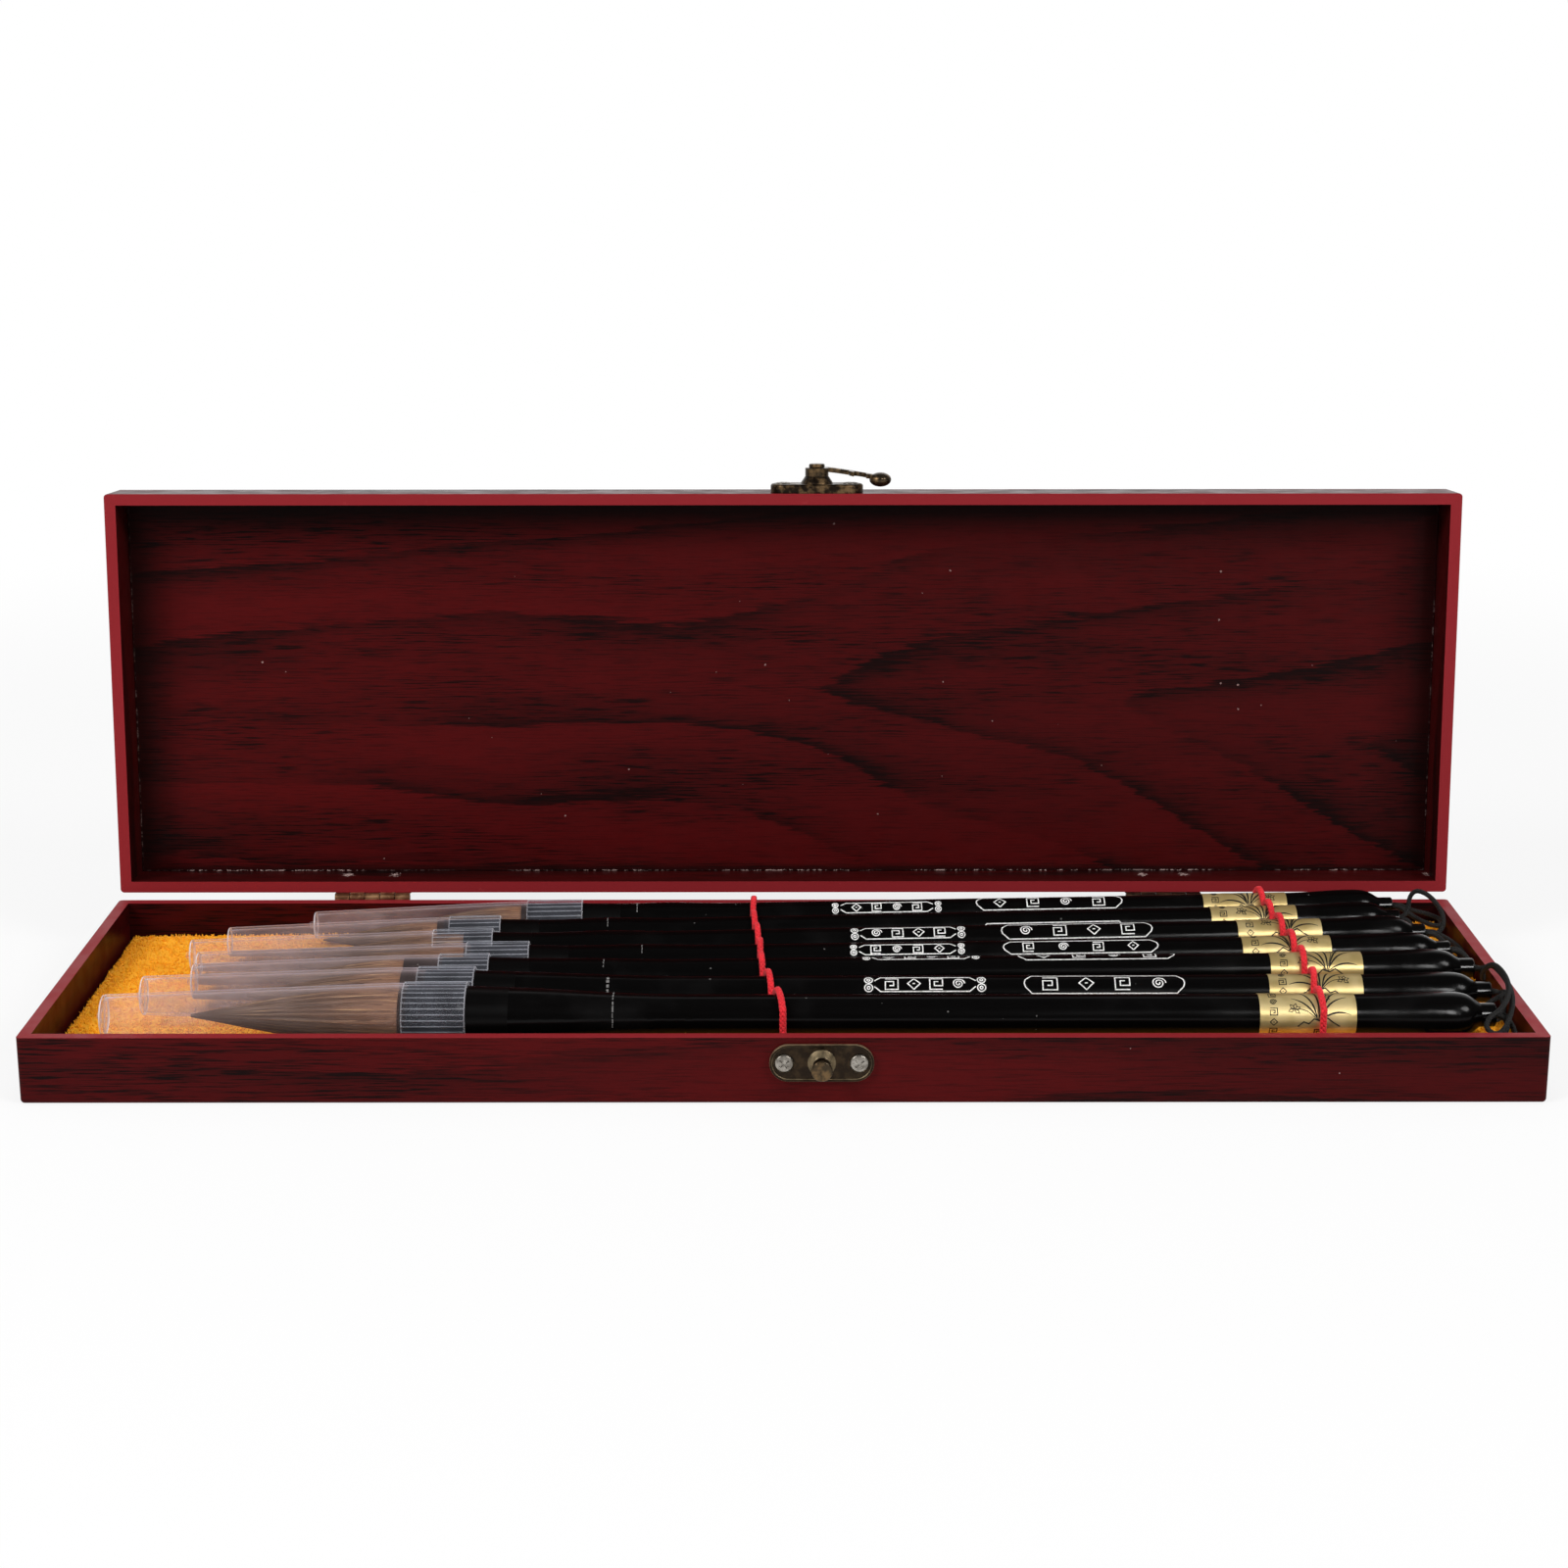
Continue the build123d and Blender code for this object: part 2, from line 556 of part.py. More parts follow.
def handle(brush, at):
    barrel, start = brush["barrel"], at["ferrule_back"]
    ring = at["mouth"] + brush["ring"]
    neck = Spline(
        (start, brush["ferrule"] - ferrule_taper), (ring, barrel + neck_swell), (ring + neck_run_out, barrel),
        tangents=((1, -0.02), (1, 0)),
    )
    swell_start, dome_start = at["dome_end"] - brush["label_inset"] + tail_swell_gap, at["dome_start"]
    widest, plug_radius = barrel + tail_swell, barrel * plug_share
    swell = Spline((swell_start, barrel), (dome_start, widest), tangents=((1, 0), (1, 0)))
    dome = Spline(
        (dome_start, widest), (at["dome_end"] - dome_length * 0.25, (widest + plug_radius) / 2 + 0.15),
        (at["dome_end"], plug_radius), tangents=((1, 0), (1, -0.5)),
    )
    hole = plug_spigot_radius + spigot_fit
    hole_end = at["dome_end"] - plug_spigot_length - spigot_fit
    outline = neck + Line((ring + neck_run_out, barrel), (swell_start, barrel)) + swell + dome
    outline += Polyline(
        (at["dome_end"], plug_radius), (at["dome_end"], hole), (hole_end, hole), (hole_end, 0),
        (start - spigot_length, 0), (start - spigot_length, spigot_radius), (start, spigot_radius),
        (start, brush["ferrule"] - ferrule_taper),
    )
    return revolve(make_face(outline), Axis.X)


def tail_plug(brush, at):
    body = rod(brush["barrel"] * plug_share, (at["dome_end"], 0, 0), (at["plug_end"], 0, 0))
    body = fillet(body.edges().group_by(Axis.X)[-1], 0.4)
    return body + rod(plug_spigot_radius, (at["dome_end"] - plug_spigot_length, 0, 0), (at["dome_end"], 0, 0))


def label(brush, at):
    end = at["dome_end"] - brush["label_inset"]
    start = end - brush["label"]
    inside = brush["barrel"] + label_gap
    outside = inside + label_thickness
    return turned([(start, inside), (start, outside), (end, outside), (end, inside)])


# --- Cords ---------------------------------------------------------------------------------------


def corner_radii(points):
    # 0.45 of the shorter run over the tangent of half the turn, at each inner point
    radii = []
    for before, at, after in zip(points, points[1:], points[2:]):
        into, out = at - before, after - at
        half_turn = radians(into.get_angle(out)) / 2
        radii.append(0.45 * min(into.length, out.length) / tan(half_turn))
    return radii


def cord_tube(path, radius):
    across = Plane(origin=path @ 0, z_dir=path % 0)
    return sweep(across * Circle(radius), path=path)


def hanging_loop(number, brush, at, route):
    side = Vector(0, 0, 1).cross(brush["along"]).normalized() * loop_leg
    out = brush["along"] * loop_out
    end = along_brush(brush, Vertex(at["plug_end"], 0, 0)).center()
    middle = [end + Vector(*step) for step in route]
    points = [end - side, end - side + out] + middle + [end + side + out, end + side]
    radii = corner_radii(points)
    path = FilletPolyline(*points, radius=radii)
    print("hanging loop", number, "length", round(path.length, 1), "radii", [round(r, 1) for r in radii])
    return cord_tube(path, loop_radius)


def tie_path(front_x, back_x, cover):
    # over each barrel and down a little between them, in one upright plane
    slope = (back_x - front_x) / (tail_ys[-1] - tail_ys[0])
    start_x = front_x - slope * tail_ys[0]
    stretch = hypot(1, slope)
    barrels = []
    for brush in brushes:
        lean = brush["along"].Y / brush["along"].X
        y = (brush["head"].Y + lean * (start_x - head_x)) / (1 - lean * slope)
        z = axis_point(brush, start_x + slope * y).Z
        barrels.append((y * stretch, z, brush["barrel"] + cover + tie_gap + tie_radius))

    def place(s, z):
        return Vector(start_x + slope * s / stretch, s / stretch, z)

    def on_circle(middle, radius, angle):
        return place(middle[0] + radius * cos(angle), middle[1] + radius * sin(angle))

    def bow(middle, radius, first, last):
        angles = (first, (first + last) / 2, last)
        return ThreePointArc(*[on_circle(middle, radius, angle) for angle in angles])

    low = wall + tie_end_gap
    s, z, radius = barrels[0]
    edges = [Line(place(s - radius, low), place(s - radius, z))]
    arrive = pi
    for (s0, z0, r0), (s1, z1, r1) in zip(barrels, barrels[1:]):
        middle = (s0 + r0 + s1 - r1) / 2
        rises = [
            z_ + sqrt(max((r_ + tie_dip_radius + tie_dip_run) ** 2 - (middle - s_) ** 2, tie_dip_radius**2))
            for s_, z_, r_ in ((s0, z0, r0), (s1, z1, r1))
        ]
        dip = (middle, max(rises))
        down = atan2(dip[1] - z0, dip[0] - s0) + acos((r0 + tie_dip_radius) / hypot(dip[0] - s0, dip[1] - z0))
        up = atan2(dip[1] - z1, dip[0] - s1) - acos((r1 + tie_dip_radius) / hypot(dip[0] - s1, dip[1] - z1))
        edges.append(bow((s0, z0), r0, arrive, down))
        edges.append(Line(on_circle((s0, z0), r0, down), on_circle(dip, tie_dip_radius, down - pi)))
        edges.append(bow(dip, tie_dip_radius, down - pi, up - pi))
        edges.append(Line(on_circle(dip, tie_dip_radius, up - pi), on_circle((s1, z1), r1, up)))
        arrive = up
    s, z, radius = barrels[-1]
    edges.append(bow((s, z), radius, arrive, 0))
    edges.append(Line(place(s + radius, z), place(s + radius, low)))
    return Wire(edges)


left_path = tie_path(*left_tie, 0)
right_path = tie_path(*[inner_length / 2 - inset for inset in right_tie_insets], label_gap + label_thickness)
for name, path in (("left_tie_cord", left_path), ("right_tie_cord", right_path)):
    print(name, "length", round(path.length, 1))
    save(cord_tube(path, tie_radius), name)

ferrules, plugs, labels = [], [], []
for number, (brush, route) in enumerate(zip(brushes, loop_routes), start=1):
    at = brush_stations(brush)
    save(along_brush(brush, cap(brush, at)), f"brush_{number}_cap")
    save(along_brush(brush, hair(brush, at)), f"brush_{number}_hair")
    save(along_brush(brush, handle(brush, at)), f"brush_{number}_handle")
    ferrules.append(along_brush(brush, ferrule(brush, at)))
    plugs.append(along_brush(brush, tail_plug(brush, at)))
    labels.append(along_brush(brush, label(brush, at)))
    save(hanging_loop(number, brush, at, route), f"brush_{number}_hanging_loop")
save(Compound(ferrules), "brush_ferrules")
save(Compound(plugs), "brush_tail_plugs")
save(Compound(labels), "brush_labels")

# --- Padded insert -------------------------------------------------------------------------------


def wedge(inset, drop):
    # the pad's outline, drawn in from every side and from the top
    half, depth = pad_length / 2 - inset, pad_depth / 2 - inset
    outline = Polyline(
        (-half, wall), (half, wall), (half, pad_top(half) - drop), (-half, pad_top(-half) - drop), close=True
    )
    return extrude(Plane.XZ * make_face(outline), depth, both=True)


tie_holes = [
    rod(tie_radius + tie_hole_room, (point.X, point.Y, 0), (point.X, point.Y, base_height))
    for path in (left_path, right_path)
    for point in (path @ 0, path @ 1)
]
pad = wedge(0, 0)
sharp = [edge for edge in pad.edges() if edge.center().Z > wall + fleece_thickness]
core = wedge(fleece_thickness, fleece_thickness)
save(core - tie_holes, "liner_foam")
save(fillet(sharp, fleece_rounding) - core - tie_holes, "liner_fleece")
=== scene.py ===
# A hinged calligraphy set box: red wood-grain boards, an orange fleece pad and seven capped brushes.
# Sizes in the dictionaries are millimetres and degrees. X runs along the box, Y to the back, Z up.
import json
import math
import random

import bmesh
import bpy
import numpy as np
from mathutils import Matrix, Vector


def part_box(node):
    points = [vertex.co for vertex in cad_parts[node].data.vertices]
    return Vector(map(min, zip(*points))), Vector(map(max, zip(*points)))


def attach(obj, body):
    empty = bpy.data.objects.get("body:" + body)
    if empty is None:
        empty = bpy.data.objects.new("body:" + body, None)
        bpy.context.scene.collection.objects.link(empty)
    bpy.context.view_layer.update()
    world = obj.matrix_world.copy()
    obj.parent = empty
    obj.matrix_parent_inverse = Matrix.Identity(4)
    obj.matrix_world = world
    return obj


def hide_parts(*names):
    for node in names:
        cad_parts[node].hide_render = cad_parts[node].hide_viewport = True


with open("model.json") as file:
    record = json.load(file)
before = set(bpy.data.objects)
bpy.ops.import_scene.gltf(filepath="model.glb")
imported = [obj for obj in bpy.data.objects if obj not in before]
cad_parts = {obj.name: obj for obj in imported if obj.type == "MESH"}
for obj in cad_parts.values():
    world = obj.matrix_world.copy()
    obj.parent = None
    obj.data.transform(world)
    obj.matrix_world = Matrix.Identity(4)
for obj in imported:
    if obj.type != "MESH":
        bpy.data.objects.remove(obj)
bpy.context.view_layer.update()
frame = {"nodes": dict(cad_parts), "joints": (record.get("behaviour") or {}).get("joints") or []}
cadNodes = frame["nodes"]
mm = 0.001
scene = bpy.context.scene
scene.view_settings.view_transform = "Standard"

cameraView = {
    "lens": 64.70, "sensor": 36.0, "clip": (0.01, 50),  # the clipping in metres
    "place": (0.19, -676.0, 245.27), "tiltDown": 15.05, "roll": -0.04,
}


def makeCamera():
    camera = bpy.data.objects.new("camera", bpy.data.cameras.new("camera"))
    scene.collection.objects.link(camera)
    camera.data.lens = cameraView["lens"]
    camera.data.sensor_width = cameraView["sensor"]
    camera.data.clip_start, camera.data.clip_end = cameraView["clip"]
    tilt = Matrix.Rotation(math.radians(90 - cameraView["tiltDown"]), 4, "X")
    roll = Matrix.Rotation(math.radians(cameraView["roll"]), 4, "Z")
    camera.matrix_world = Matrix.Translation(Vector(cameraView["place"]) * mm) @ tilt @ roll
    scene.camera = camera


makeCamera()
print("camera set")

# Reading the frame: everything below is placed by the CAD nodes, in millimetres


def nodePoints(name):
    mesh = cadNodes[name].data
    points = np.empty(len(mesh.vertices) * 3, np.float32)
    mesh.vertices.foreach_get("co", points)
    return points.reshape(-1, 3).astype(float) / mm


def nodeBox(name):
    low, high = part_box(name)
    return np.array(low) / mm, np.array(high) / mm


lidJoint = next(joint for joint in frame["joints"] if joint["name"] == "lid_hinge")
hingeLine = np.array(lidJoint["pos_m"]) / mm
lidAngle = math.radians(lidJoint["range_deg"][1])
baseHeight = nodeBox("base_front_wall")[1][2]
innerX, innerY, floorTop = nodeBox("base_panel")[1]


def shutPoint(point):
    # a point of the open lid, turned to where it is when the lid is shut
    y, z = point[1] - hingeLine[1], point[2] - hingeLine[2]
    turnedY = y * math.cos(lidAngle) - z * math.sin(lidAngle)
    turnedZ = y * math.sin(lidAngle) + z * math.cos(lidAngle)
    return np.array((point[0], hingeLine[1] + turnedY, hingeLine[2] + turnedZ))


lidRim = min(shutPoint(point)[2] for point in nodePoints("lid_front_wall"))
panelInside = min(shutPoint(point)[2] for point in nodePoints("lid_panel"))


def brushFrame(number):
    # the axis of a handle, from the rings at its two ends, and two directions square to it
    points = nodePoints(f"brush_{number}_handle")
    middles = []
    for end in (points[:, 0].min(), points[:, 0].max()):
        ring = points[abs(points[:, 0] - end) < 0.25]
        middles.append((ring.min(0) + ring.max(0)) / 2)
    along = middles[1] - middles[0]
    along /= np.linalg.norm(along)
    side = np.cross((0, 0, 1), along)
    side /= np.linalg.norm(side)
    origin = middles[0] - along * middles[0][0] / along[0]
    return {"number": number, "origin": origin, "along": along, "front": -side, "up": np.cross(along, side)}


brushes = [brushFrame(number) for number in range(1, 8)]


def stationsOf(points, brush):
    # distance along the brush's axis and out from it
    offsets = points - brush["origin"]
    stations = offsets @ brush["along"]
    return stations, np.linalg.norm(offsets - np.outer(stations, brush["along"]), axis=1)


def turnedPoints(name, brush):
    # (station, radius) of a node's corners, or of this brush's share of a node that all brushes share
    points = nodePoints(name)
    if name in ("brush_ferrules", "brush_tail_plugs", "brush_labels"):
        radii = np.array([stationsOf(points, other)[1] for other in brushes])
        points = points[radii.argmin(0) == brush["number"] - 1]
    return stationsOf(points, brush)


def outlineOf(name, brush, step=1.0):
    # the largest radius in each step along the axis
    stations, radii = turnedPoints(name, brush)
    edges = np.arange(stations.min(), stations.max() + step, step)
    bins = np.digitize(stations, edges)
    found = [(stations[bins == number][radii[bins == number].argmax()], radii[bins == number].max())
             for number in np.unique(bins)]
    return np.array(found).T


for brush in brushes:
    stations, radii = turnedPoints(f"brush_{brush['number']}_cap", brush)
    brush["nibTip"], brush["mouth"] = stations.min(), stations.max()
    brush["collarRadius"] = radii.max()
    brush["capEnd"] = radii[stations < brush["nibTip"] + 2.5].max()
    pull = next(joint for joint in frame["joints"] if joint["name"] == f"cap_{brush['number']}_pull")
    brush["travel"] = max(pull["range_m"]) / mm
    brush["hairLine"] = outlineOf(f"brush_{brush['number']}_hair", brush)
    brush["handleLine"] = outlineOf(f"brush_{brush['number']}_handle", brush)
    stations, radii = turnedPoints("brush_ferrules", brush)
    brush["ferruleFront"], brush["ferruleBack"] = stations.min(), stations.max()
    brush["ferruleRadius"] = radii.max()
    brush["plugEnd"] = turnedPoints("brush_tail_plugs", brush)[0].max()
    stations, radii = turnedPoints("brush_labels", brush)
    brush["labelSpan"], brush["labelRadius"] = (stations.min(), stations.max()), radii.max()


def stationAt(brush, x):
    return (x - brush["origin"][0]) / brush["along"][0]


def axisAt(brush, x):
    # the brush's axis at a place along the box: its station there, its y and its z
    station = stationAt(brush, x)
    y, z = (brush["origin"][axis] + brush["along"][axis] * station for axis in (1, 2))
    return station, y, z


def outward(brush, angle):
    # angle 0 faces the front of the box and a quarter turn is the top
    return brush["front"] * math.cos(angle) + brush["up"] * math.sin(angle)


def onBrush(brush, station, radius, angle):
    return brush["origin"] + brush["along"] * station + outward(brush, angle) * radius


print("frame read:", ", ".join(f"{brush['mouth']:.1f}" for brush in brushes))

# Shader helpers


def addNode(tree, kind, inputs=None, **settings):
    # an input is another node's socket to link, or a plain value
    node = tree.nodes.new(kind)
    for key, value in settings.items():
        setattr(node, key, value)
    for key, value in (inputs or {}).items():
        if isinstance(value, bpy.types.NodeSocket):
            tree.links.new(value, node.inputs[key])
        else:
            node.inputs[key].default_value = value
    return node


def calc(tree, operation, first, second=0.0, third=0.0):
    node = addNode(tree, "ShaderNodeMath", {0: first, 1: second, 2: third}, operation=operation)
    return node.outputs[0]


def mathNode(operation):
    def add(tree, first, second=0.0):
        return calc(tree, operation, first, second)

    return add


plus, minus, times, over = map(mathNode, ("ADD", "SUBTRACT", "MULTIPLY", "DIVIDE"))
power, rootOf, absolute = map(mathNode, ("POWER", "SQRT", "ABSOLUTE"))
larger, smaller = map(mathNode, ("MAXIMUM", "MINIMUM"))
above, below = map(mathNode, ("GREATER_THAN", "LESS_THAN"))


def joinVector(tree, x, y, z=0.0):
    return addNode(tree, "ShaderNodeCombineXYZ", {"X": x, "Y": y, "Z": z}).outputs[0]


def splitVector(tree, vector):
    return addNode(tree, "ShaderNodeSeparateXYZ", {0: vector}).outputs


def noiseOf(tree, vector, scale=1.0, detail=2.0, roughness=0.5):
    inputs = {"Vector": vector, "Scale": scale, "Detail": detail, "Roughness": roughness}
    return addNode(tree, "ShaderNodeTexNoise", inputs).outputs[0]


def stepOf(tree, value, low, high, toLow=0.0, toHigh=1.0):
    inputs = {"Value": value, "From Min": low, "From Max": high, "To Min": toLow, "To Max": toHigh}
    return addNode(tree, "ShaderNodeMapRange", inputs, interpolation_type="SMOOTHSTEP").outputs[0]


def mixColour(tree, share, first, second):
    inputs = {0: share, 6: first, 7: second}
    return addNode(tree, "ShaderNodeMix", inputs, data_type="RGBA").outputs[2]


def mixValue(tree, share, first, second):
    inputs = {0: share, 2: first, 3: second}
    return addNode(tree, "ShaderNodeMix", inputs, data_type="FLOAT").outputs[0]


def rampOf(tree, value, stops):
    node = addNode(tree, "ShaderNodeValToRGB", {0: value})
    elements = node.color_ramp.elements
    while len(elements) < len(stops):
        elements.new(0.5)
    for element, (place, shade) in zip(elements, stops):
        element.position = place
        element.color = (shade, shade, shade, 1)
    return node.outputs[0]


def bumpOf(tree, height, strength, distance):
    inputs = {"Height": height, "Strength": strength, "Distance": distance}
    return addNode(tree, "ShaderNodeBump", inputs).outputs[0]


def emptyTree(owner):
    # the cleared nodes of a material or of the world
    owner.use_nodes = True
    owner.node_tree.nodes.clear()
    return owner.node_tree


def newMaterial(name, **values):
    # a material with one Principled shader; plain values go on its own sockets
    material = bpy.data.materials.new(name)
    tree = emptyTree(material)
    inputs = {key.replace("_", " "): value for key, value in values.items()}
    shader = addNode(tree, "ShaderNodeBsdfPrincipled", inputs)
    addNode(tree, "ShaderNodeOutputMaterial", {0: shader.outputs[0]})
    return material, tree, shader


def feed(tree, shader, **sockets):
    for key, value in sockets.items():
        tree.links.new(value, shader.inputs[key.replace("_", " ")])


def objectVector(tree):
    return addNode(tree, "ShaderNodeTexCoord").outputs["Object"]


def streaksOf(tree, vector, along, across, detail):
    # noise drawn out along the box: its scales per metre along and across
    x, y, z = splitVector(tree, vector)
    drawn = joinVector(tree, times(tree, x, along), times(tree, y, across), times(tree, z, across))
    return noiseOf(tree, drawn, 1.0, detail)


def newGroup(name, inputs, outputs):
    tree = bpy.data.node_groups.new(name, "ShaderNodeTree")
    for label, kind, value in inputs:
        socket = tree.interface.new_socket(label, in_out="INPUT", socket_type="NodeSocket" + kind)
        if value is not None:
            socket.default_value = value
    for label, kind in outputs:
        tree.interface.new_socket(label, in_out="OUTPUT", socket_type="NodeSocket" + kind)
    return tree, tree.nodes.new("NodeGroupInput").outputs, tree.nodes.new("NodeGroupOutput").inputs


def useGroup(tree, group, inputs):
    return addNode(tree, "ShaderNodeGroup", inputs, node_tree=group).outputs


# Effects that several materials share


def dustGroup():
    # sparse pale specks: one in a few cells, each of its own size, with a ragged outline
    tree, given, made = newGroup(
        "dustSpecks",
        [("Vector", "Vector", None), ("Cell", "Float", 0.006), ("Size", "Float", 0.00035),
         ("Share", "Float", 0.1)],
        [("Mask", "Float")],
    )
    smallest, raggedness = 0.3, 22.0
    inputs = {0: given["Vector"], "Scale": over(tree, 1.0, given["Cell"])}
    scaled = addNode(tree, "ShaderNodeVectorMath", inputs, operation="SCALE").outputs[0]
    cells = addNode(tree, "ShaderNodeTexVoronoi", {"Vector": scaled, "Scale": 1.0}).outputs
    chance = splitVector(tree, cells["Color"])
    size = times(tree, over(tree, given["Size"], given["Cell"]), plus(tree, chance[1], smallest))
    ragged = times(tree, noiseOf(tree, scaled, raggedness, 2.0), size)
    near = below(tree, cells["Distance"], times(tree, ragged, 2.0))
    picked = below(tree, chance[0], given["Share"])
    tree.links.new(times(tree, near, picked), made["Mask"])
    return tree


grainStyle = {
    "light": (0.084, 0.0040, 0.0045, 1), "dark": (0.0085, 0.0025, 0.0025, 1),
    "ringProfile": ((0.0, 0.0), (0.45, 0.05), (0.80, 0.40), (0.955, 1.0), (0.985, 0.85), (1.0, 0.0)),
    "ringsPerMetre": 46.0, "waveDepth": 2.6, "raggedEdge": 0.34, "specular": 0.05,
    # each noise: its scales per metre along and across the grain, detail, roughness and seed
    "waves": (4.2, 15.0, 2.0, 0.5, 0.0), "ragged": (42.0, 800.0, 3.0, 0.65, 4.0),
    "weak": (11.0, 50.0, 1.0, 0.5, 21.0), "dashes": (85.0, 2300.0, 2.0, 0.6, 9.0),
    "fine": (260.0, 5200.0, 1.0, 0.5, 13.0), "clouds": (8.0, 60.0, 3.0, 0.55, 17.0),
    # where each of them fades in
    "fades": {"weak": (0.36, 0.62), "dashes": (0.47, 0.68), "fine": (0.50, 0.72), "clouds": (0.30, 0.72)},
    # how dark each of them makes the foil; dashes have a share inside the clouds and one everywhere
    "ringStrength": 0.72, "weakest": 0.25, "dashStrength": (0.80, 0.22), "fineStrength": 0.20,
    "cloudStrength": 0.30, "dashDepth": 0.8,
    # arrowheads in the lid's panel: the first tip, along the lid and over it, the slope of the line of tips,
    # how fast the rings spread from that line and how round the tips are
    "archTip": (71.6, 0.4), "archSlope": 0.168, "archSpread": 0.30, "archRound": 2.2, "archShift": 0.75,
    "archStart": 30.0, "spread": 0.05,
}


def grainGroup():
    # printed wood grain: long uneven rings where the level steps, streaks and short dark dashes
    tree, given, made = newGroup(
        "foilGrain",
        [("Along", "Float", 0.0), ("Across", "Float", 0.0), ("Level", "Float", 0.0), ("Waves", "Float", 1.0),
         ("Seed", "Float", 0.0), ("Light", "Color", (1, 1, 1, 1)), ("Dark", "Color", (0, 0, 0, 1))],
        [("Color", "Color"), ("Height", "Float")],
    )

    def stretched(name):
        alongScale, acrossScale, detail, roughness, shift = grainStyle[name]
        u = times(tree, given["Along"], alongScale)
        v = times(tree, given["Across"], acrossScale)
        place = joinVector(tree, u, v, plus(tree, given["Seed"], shift))
        return noiseOf(tree, place, 1.0, detail, roughness)

    def faded(name):
        return stepOf(tree, stretched(name), *grainStyle["fades"][name])

    waves = times(tree, stretched("waves"), grainStyle["waveDepth"])
    level = times(tree, given["Level"], grainStyle["ringsPerMetre"])
    rings = plus(tree, level, times(tree, waves, given["Waves"]))
    ragged = minus(tree, stretched("ragged"), 0.5)
    saw = calc(tree, "FRACT", plus(tree, rings, times(tree, ragged, grainStyle["raggedEdge"])))
    weakest = grainStyle["weakest"]
    strength = plus(tree, times(tree, faded("weak"), 1 - weakest), weakest)
    ringShade = times(tree, rampOf(tree, saw, grainStyle["ringProfile"]), strength)
    dashes, fine, clouds = faded("dashes"), faded("fine"), faded("clouds")
    cloudy, anywhere = grainStyle["dashStrength"]
    dashed = times(tree, dashes, plus(tree, times(tree, clouds, cloudy), anywhere))
    shade = plus(tree, times(tree, ringShade, grainStyle["ringStrength"]), dashed)
    shade = plus(tree, shade, times(tree, fine, grainStyle["fineStrength"]))
    shade = plus(tree, shade, times(tree, clouds, grainStyle["cloudStrength"]))
    clamped = addNode(tree, "ShaderNodeClamp", {0: shade}).outputs[0]
    tree.links.new(mixColour(tree, clamped, given["Light"], given["Dark"]), made["Color"])
    tree.links.new(minus(tree, 1.0, times(tree, dashes, grainStyle["dashDepth"])), made["Height"])
    return tree


def archLevel(tree, along, across):
    # rings that lie along the lid and, right of the first tip, open like nested arrowheads
    tipX, tipY = grainStyle["archTip"]
    ahead = minus(tree, along, tipX * mm)
    past = calc(tree, "SMOOTH_MAX", ahead, 0.0, grainStyle["archStart"] * mm)
    axis = plus(tree, times(tree, past, grainStyle["archSlope"]), tipY * mm)
    aside = minus(tree, across, axis)
    blunt = plus(tree, times(tree, aside, aside), (grainStyle["archRound"] * mm) ** 2)
    level = minus(tree, rootOf(tree, blunt), times(tree, past, grainStyle["archSpread"]))
    level = minus(tree, level, times(tree, ahead, grainStyle["spread"]))
    return plus(tree, level, grainStyle["archShift"] / grainStyle["ringsPerMetre"])


dustSpecks = dustGroup()
foilGrain = grainGroup()

# The boards: printed foil on the faces, painted rims, and painted shade inside

boardStyle = {
    "rim": (0.245, 0.0180, 0.0230, 1), "rimWear": (0.33, 0.04, 0.045, 1), "rimDepth": 0.03, "edge": 0.22,
    "dust": (0.32, 0.20, 0.19, 1), "dustSpecks": {"Cell": 0.0062, "Size": 0.00024, "Share": 0.32},
    # the first colour on the next line is painted shade for the boards' insides, and shadedWall is its share
    # on the walls' inner faces
    "shadeColour": (0.0058, 0.0024, 0.0022, 1), "shadedWall": 0.34, "glue": (0.42, 0.30, 0.28, 1),
    "glueWidth": 0.45, "glueAtSides": 0.35,
    # each noise: its scale per metre, detail and roughness
    "sheen": (160.0, 3.0), "mottle": (420.0, 4.0, 0.7), "crumbs": (900.0, 3.0, 0.7), "patches": (45.0, 1.0),
    "blobEdge": (1300.0, 3.0, 0.7),
    # fades over the boards: from and to in millimetres, and the value at each end; the edge, lip, side and
    # right fades are painted shade
    "edgeShade": (0.0, 3.2, 0.85, 0.0), "lipShade": (2.4, 9.0, 0.93, 0.0),
    "sideShade": (0.5, 11.0, 0.78, 0.0), "rightShade": (-150.0, 170.0, 0.0, 0.20),
    "frontShade": (20.0, 130.0, 0.0, 0.30), "calmWaves": (-20.0, 60.0, 1.0, 0.4),
    # places along the lid where a blob of glue has burst on the back wall
    "blobs": (-119.5, -106.7, 98.5, 109.8, 177.0), "blobHeight": 4.6, "blobSize": 1.9,
}


def boardFade(tree, value, name):
    start, end, first, last = boardStyle[name]
    return stepOf(tree, value, start * mm, end * mm, first, last)


def boardGrain(tree, onLid, face, seed, place):
    # the grain lies along the box, and across it on the side walls
    x, y, z = place
    along, across = {"panel": (x, y), "long": (x, z), "side": (y, z)}[face]
    inputs = {"Along": along, "Across": across, "Level": across, "Seed": seed,
              "Light": grainStyle["light"], "Dark": grainStyle["dark"]}
    if face == "panel" and onLid:
        inputs["Level"] = archLevel(tree, x, y)
        inputs["Waves"] = boardFade(tree, x, "calmWaves")
    if face == "long" and not onLid:  # darker towards the right
        shade = boardFade(tree, x, "frontShade")
        inputs["Light"] = mixColour(tree, shade, grainStyle["light"], grainStyle["dark"])
    return useGroup(tree, foilGrain, inputs)


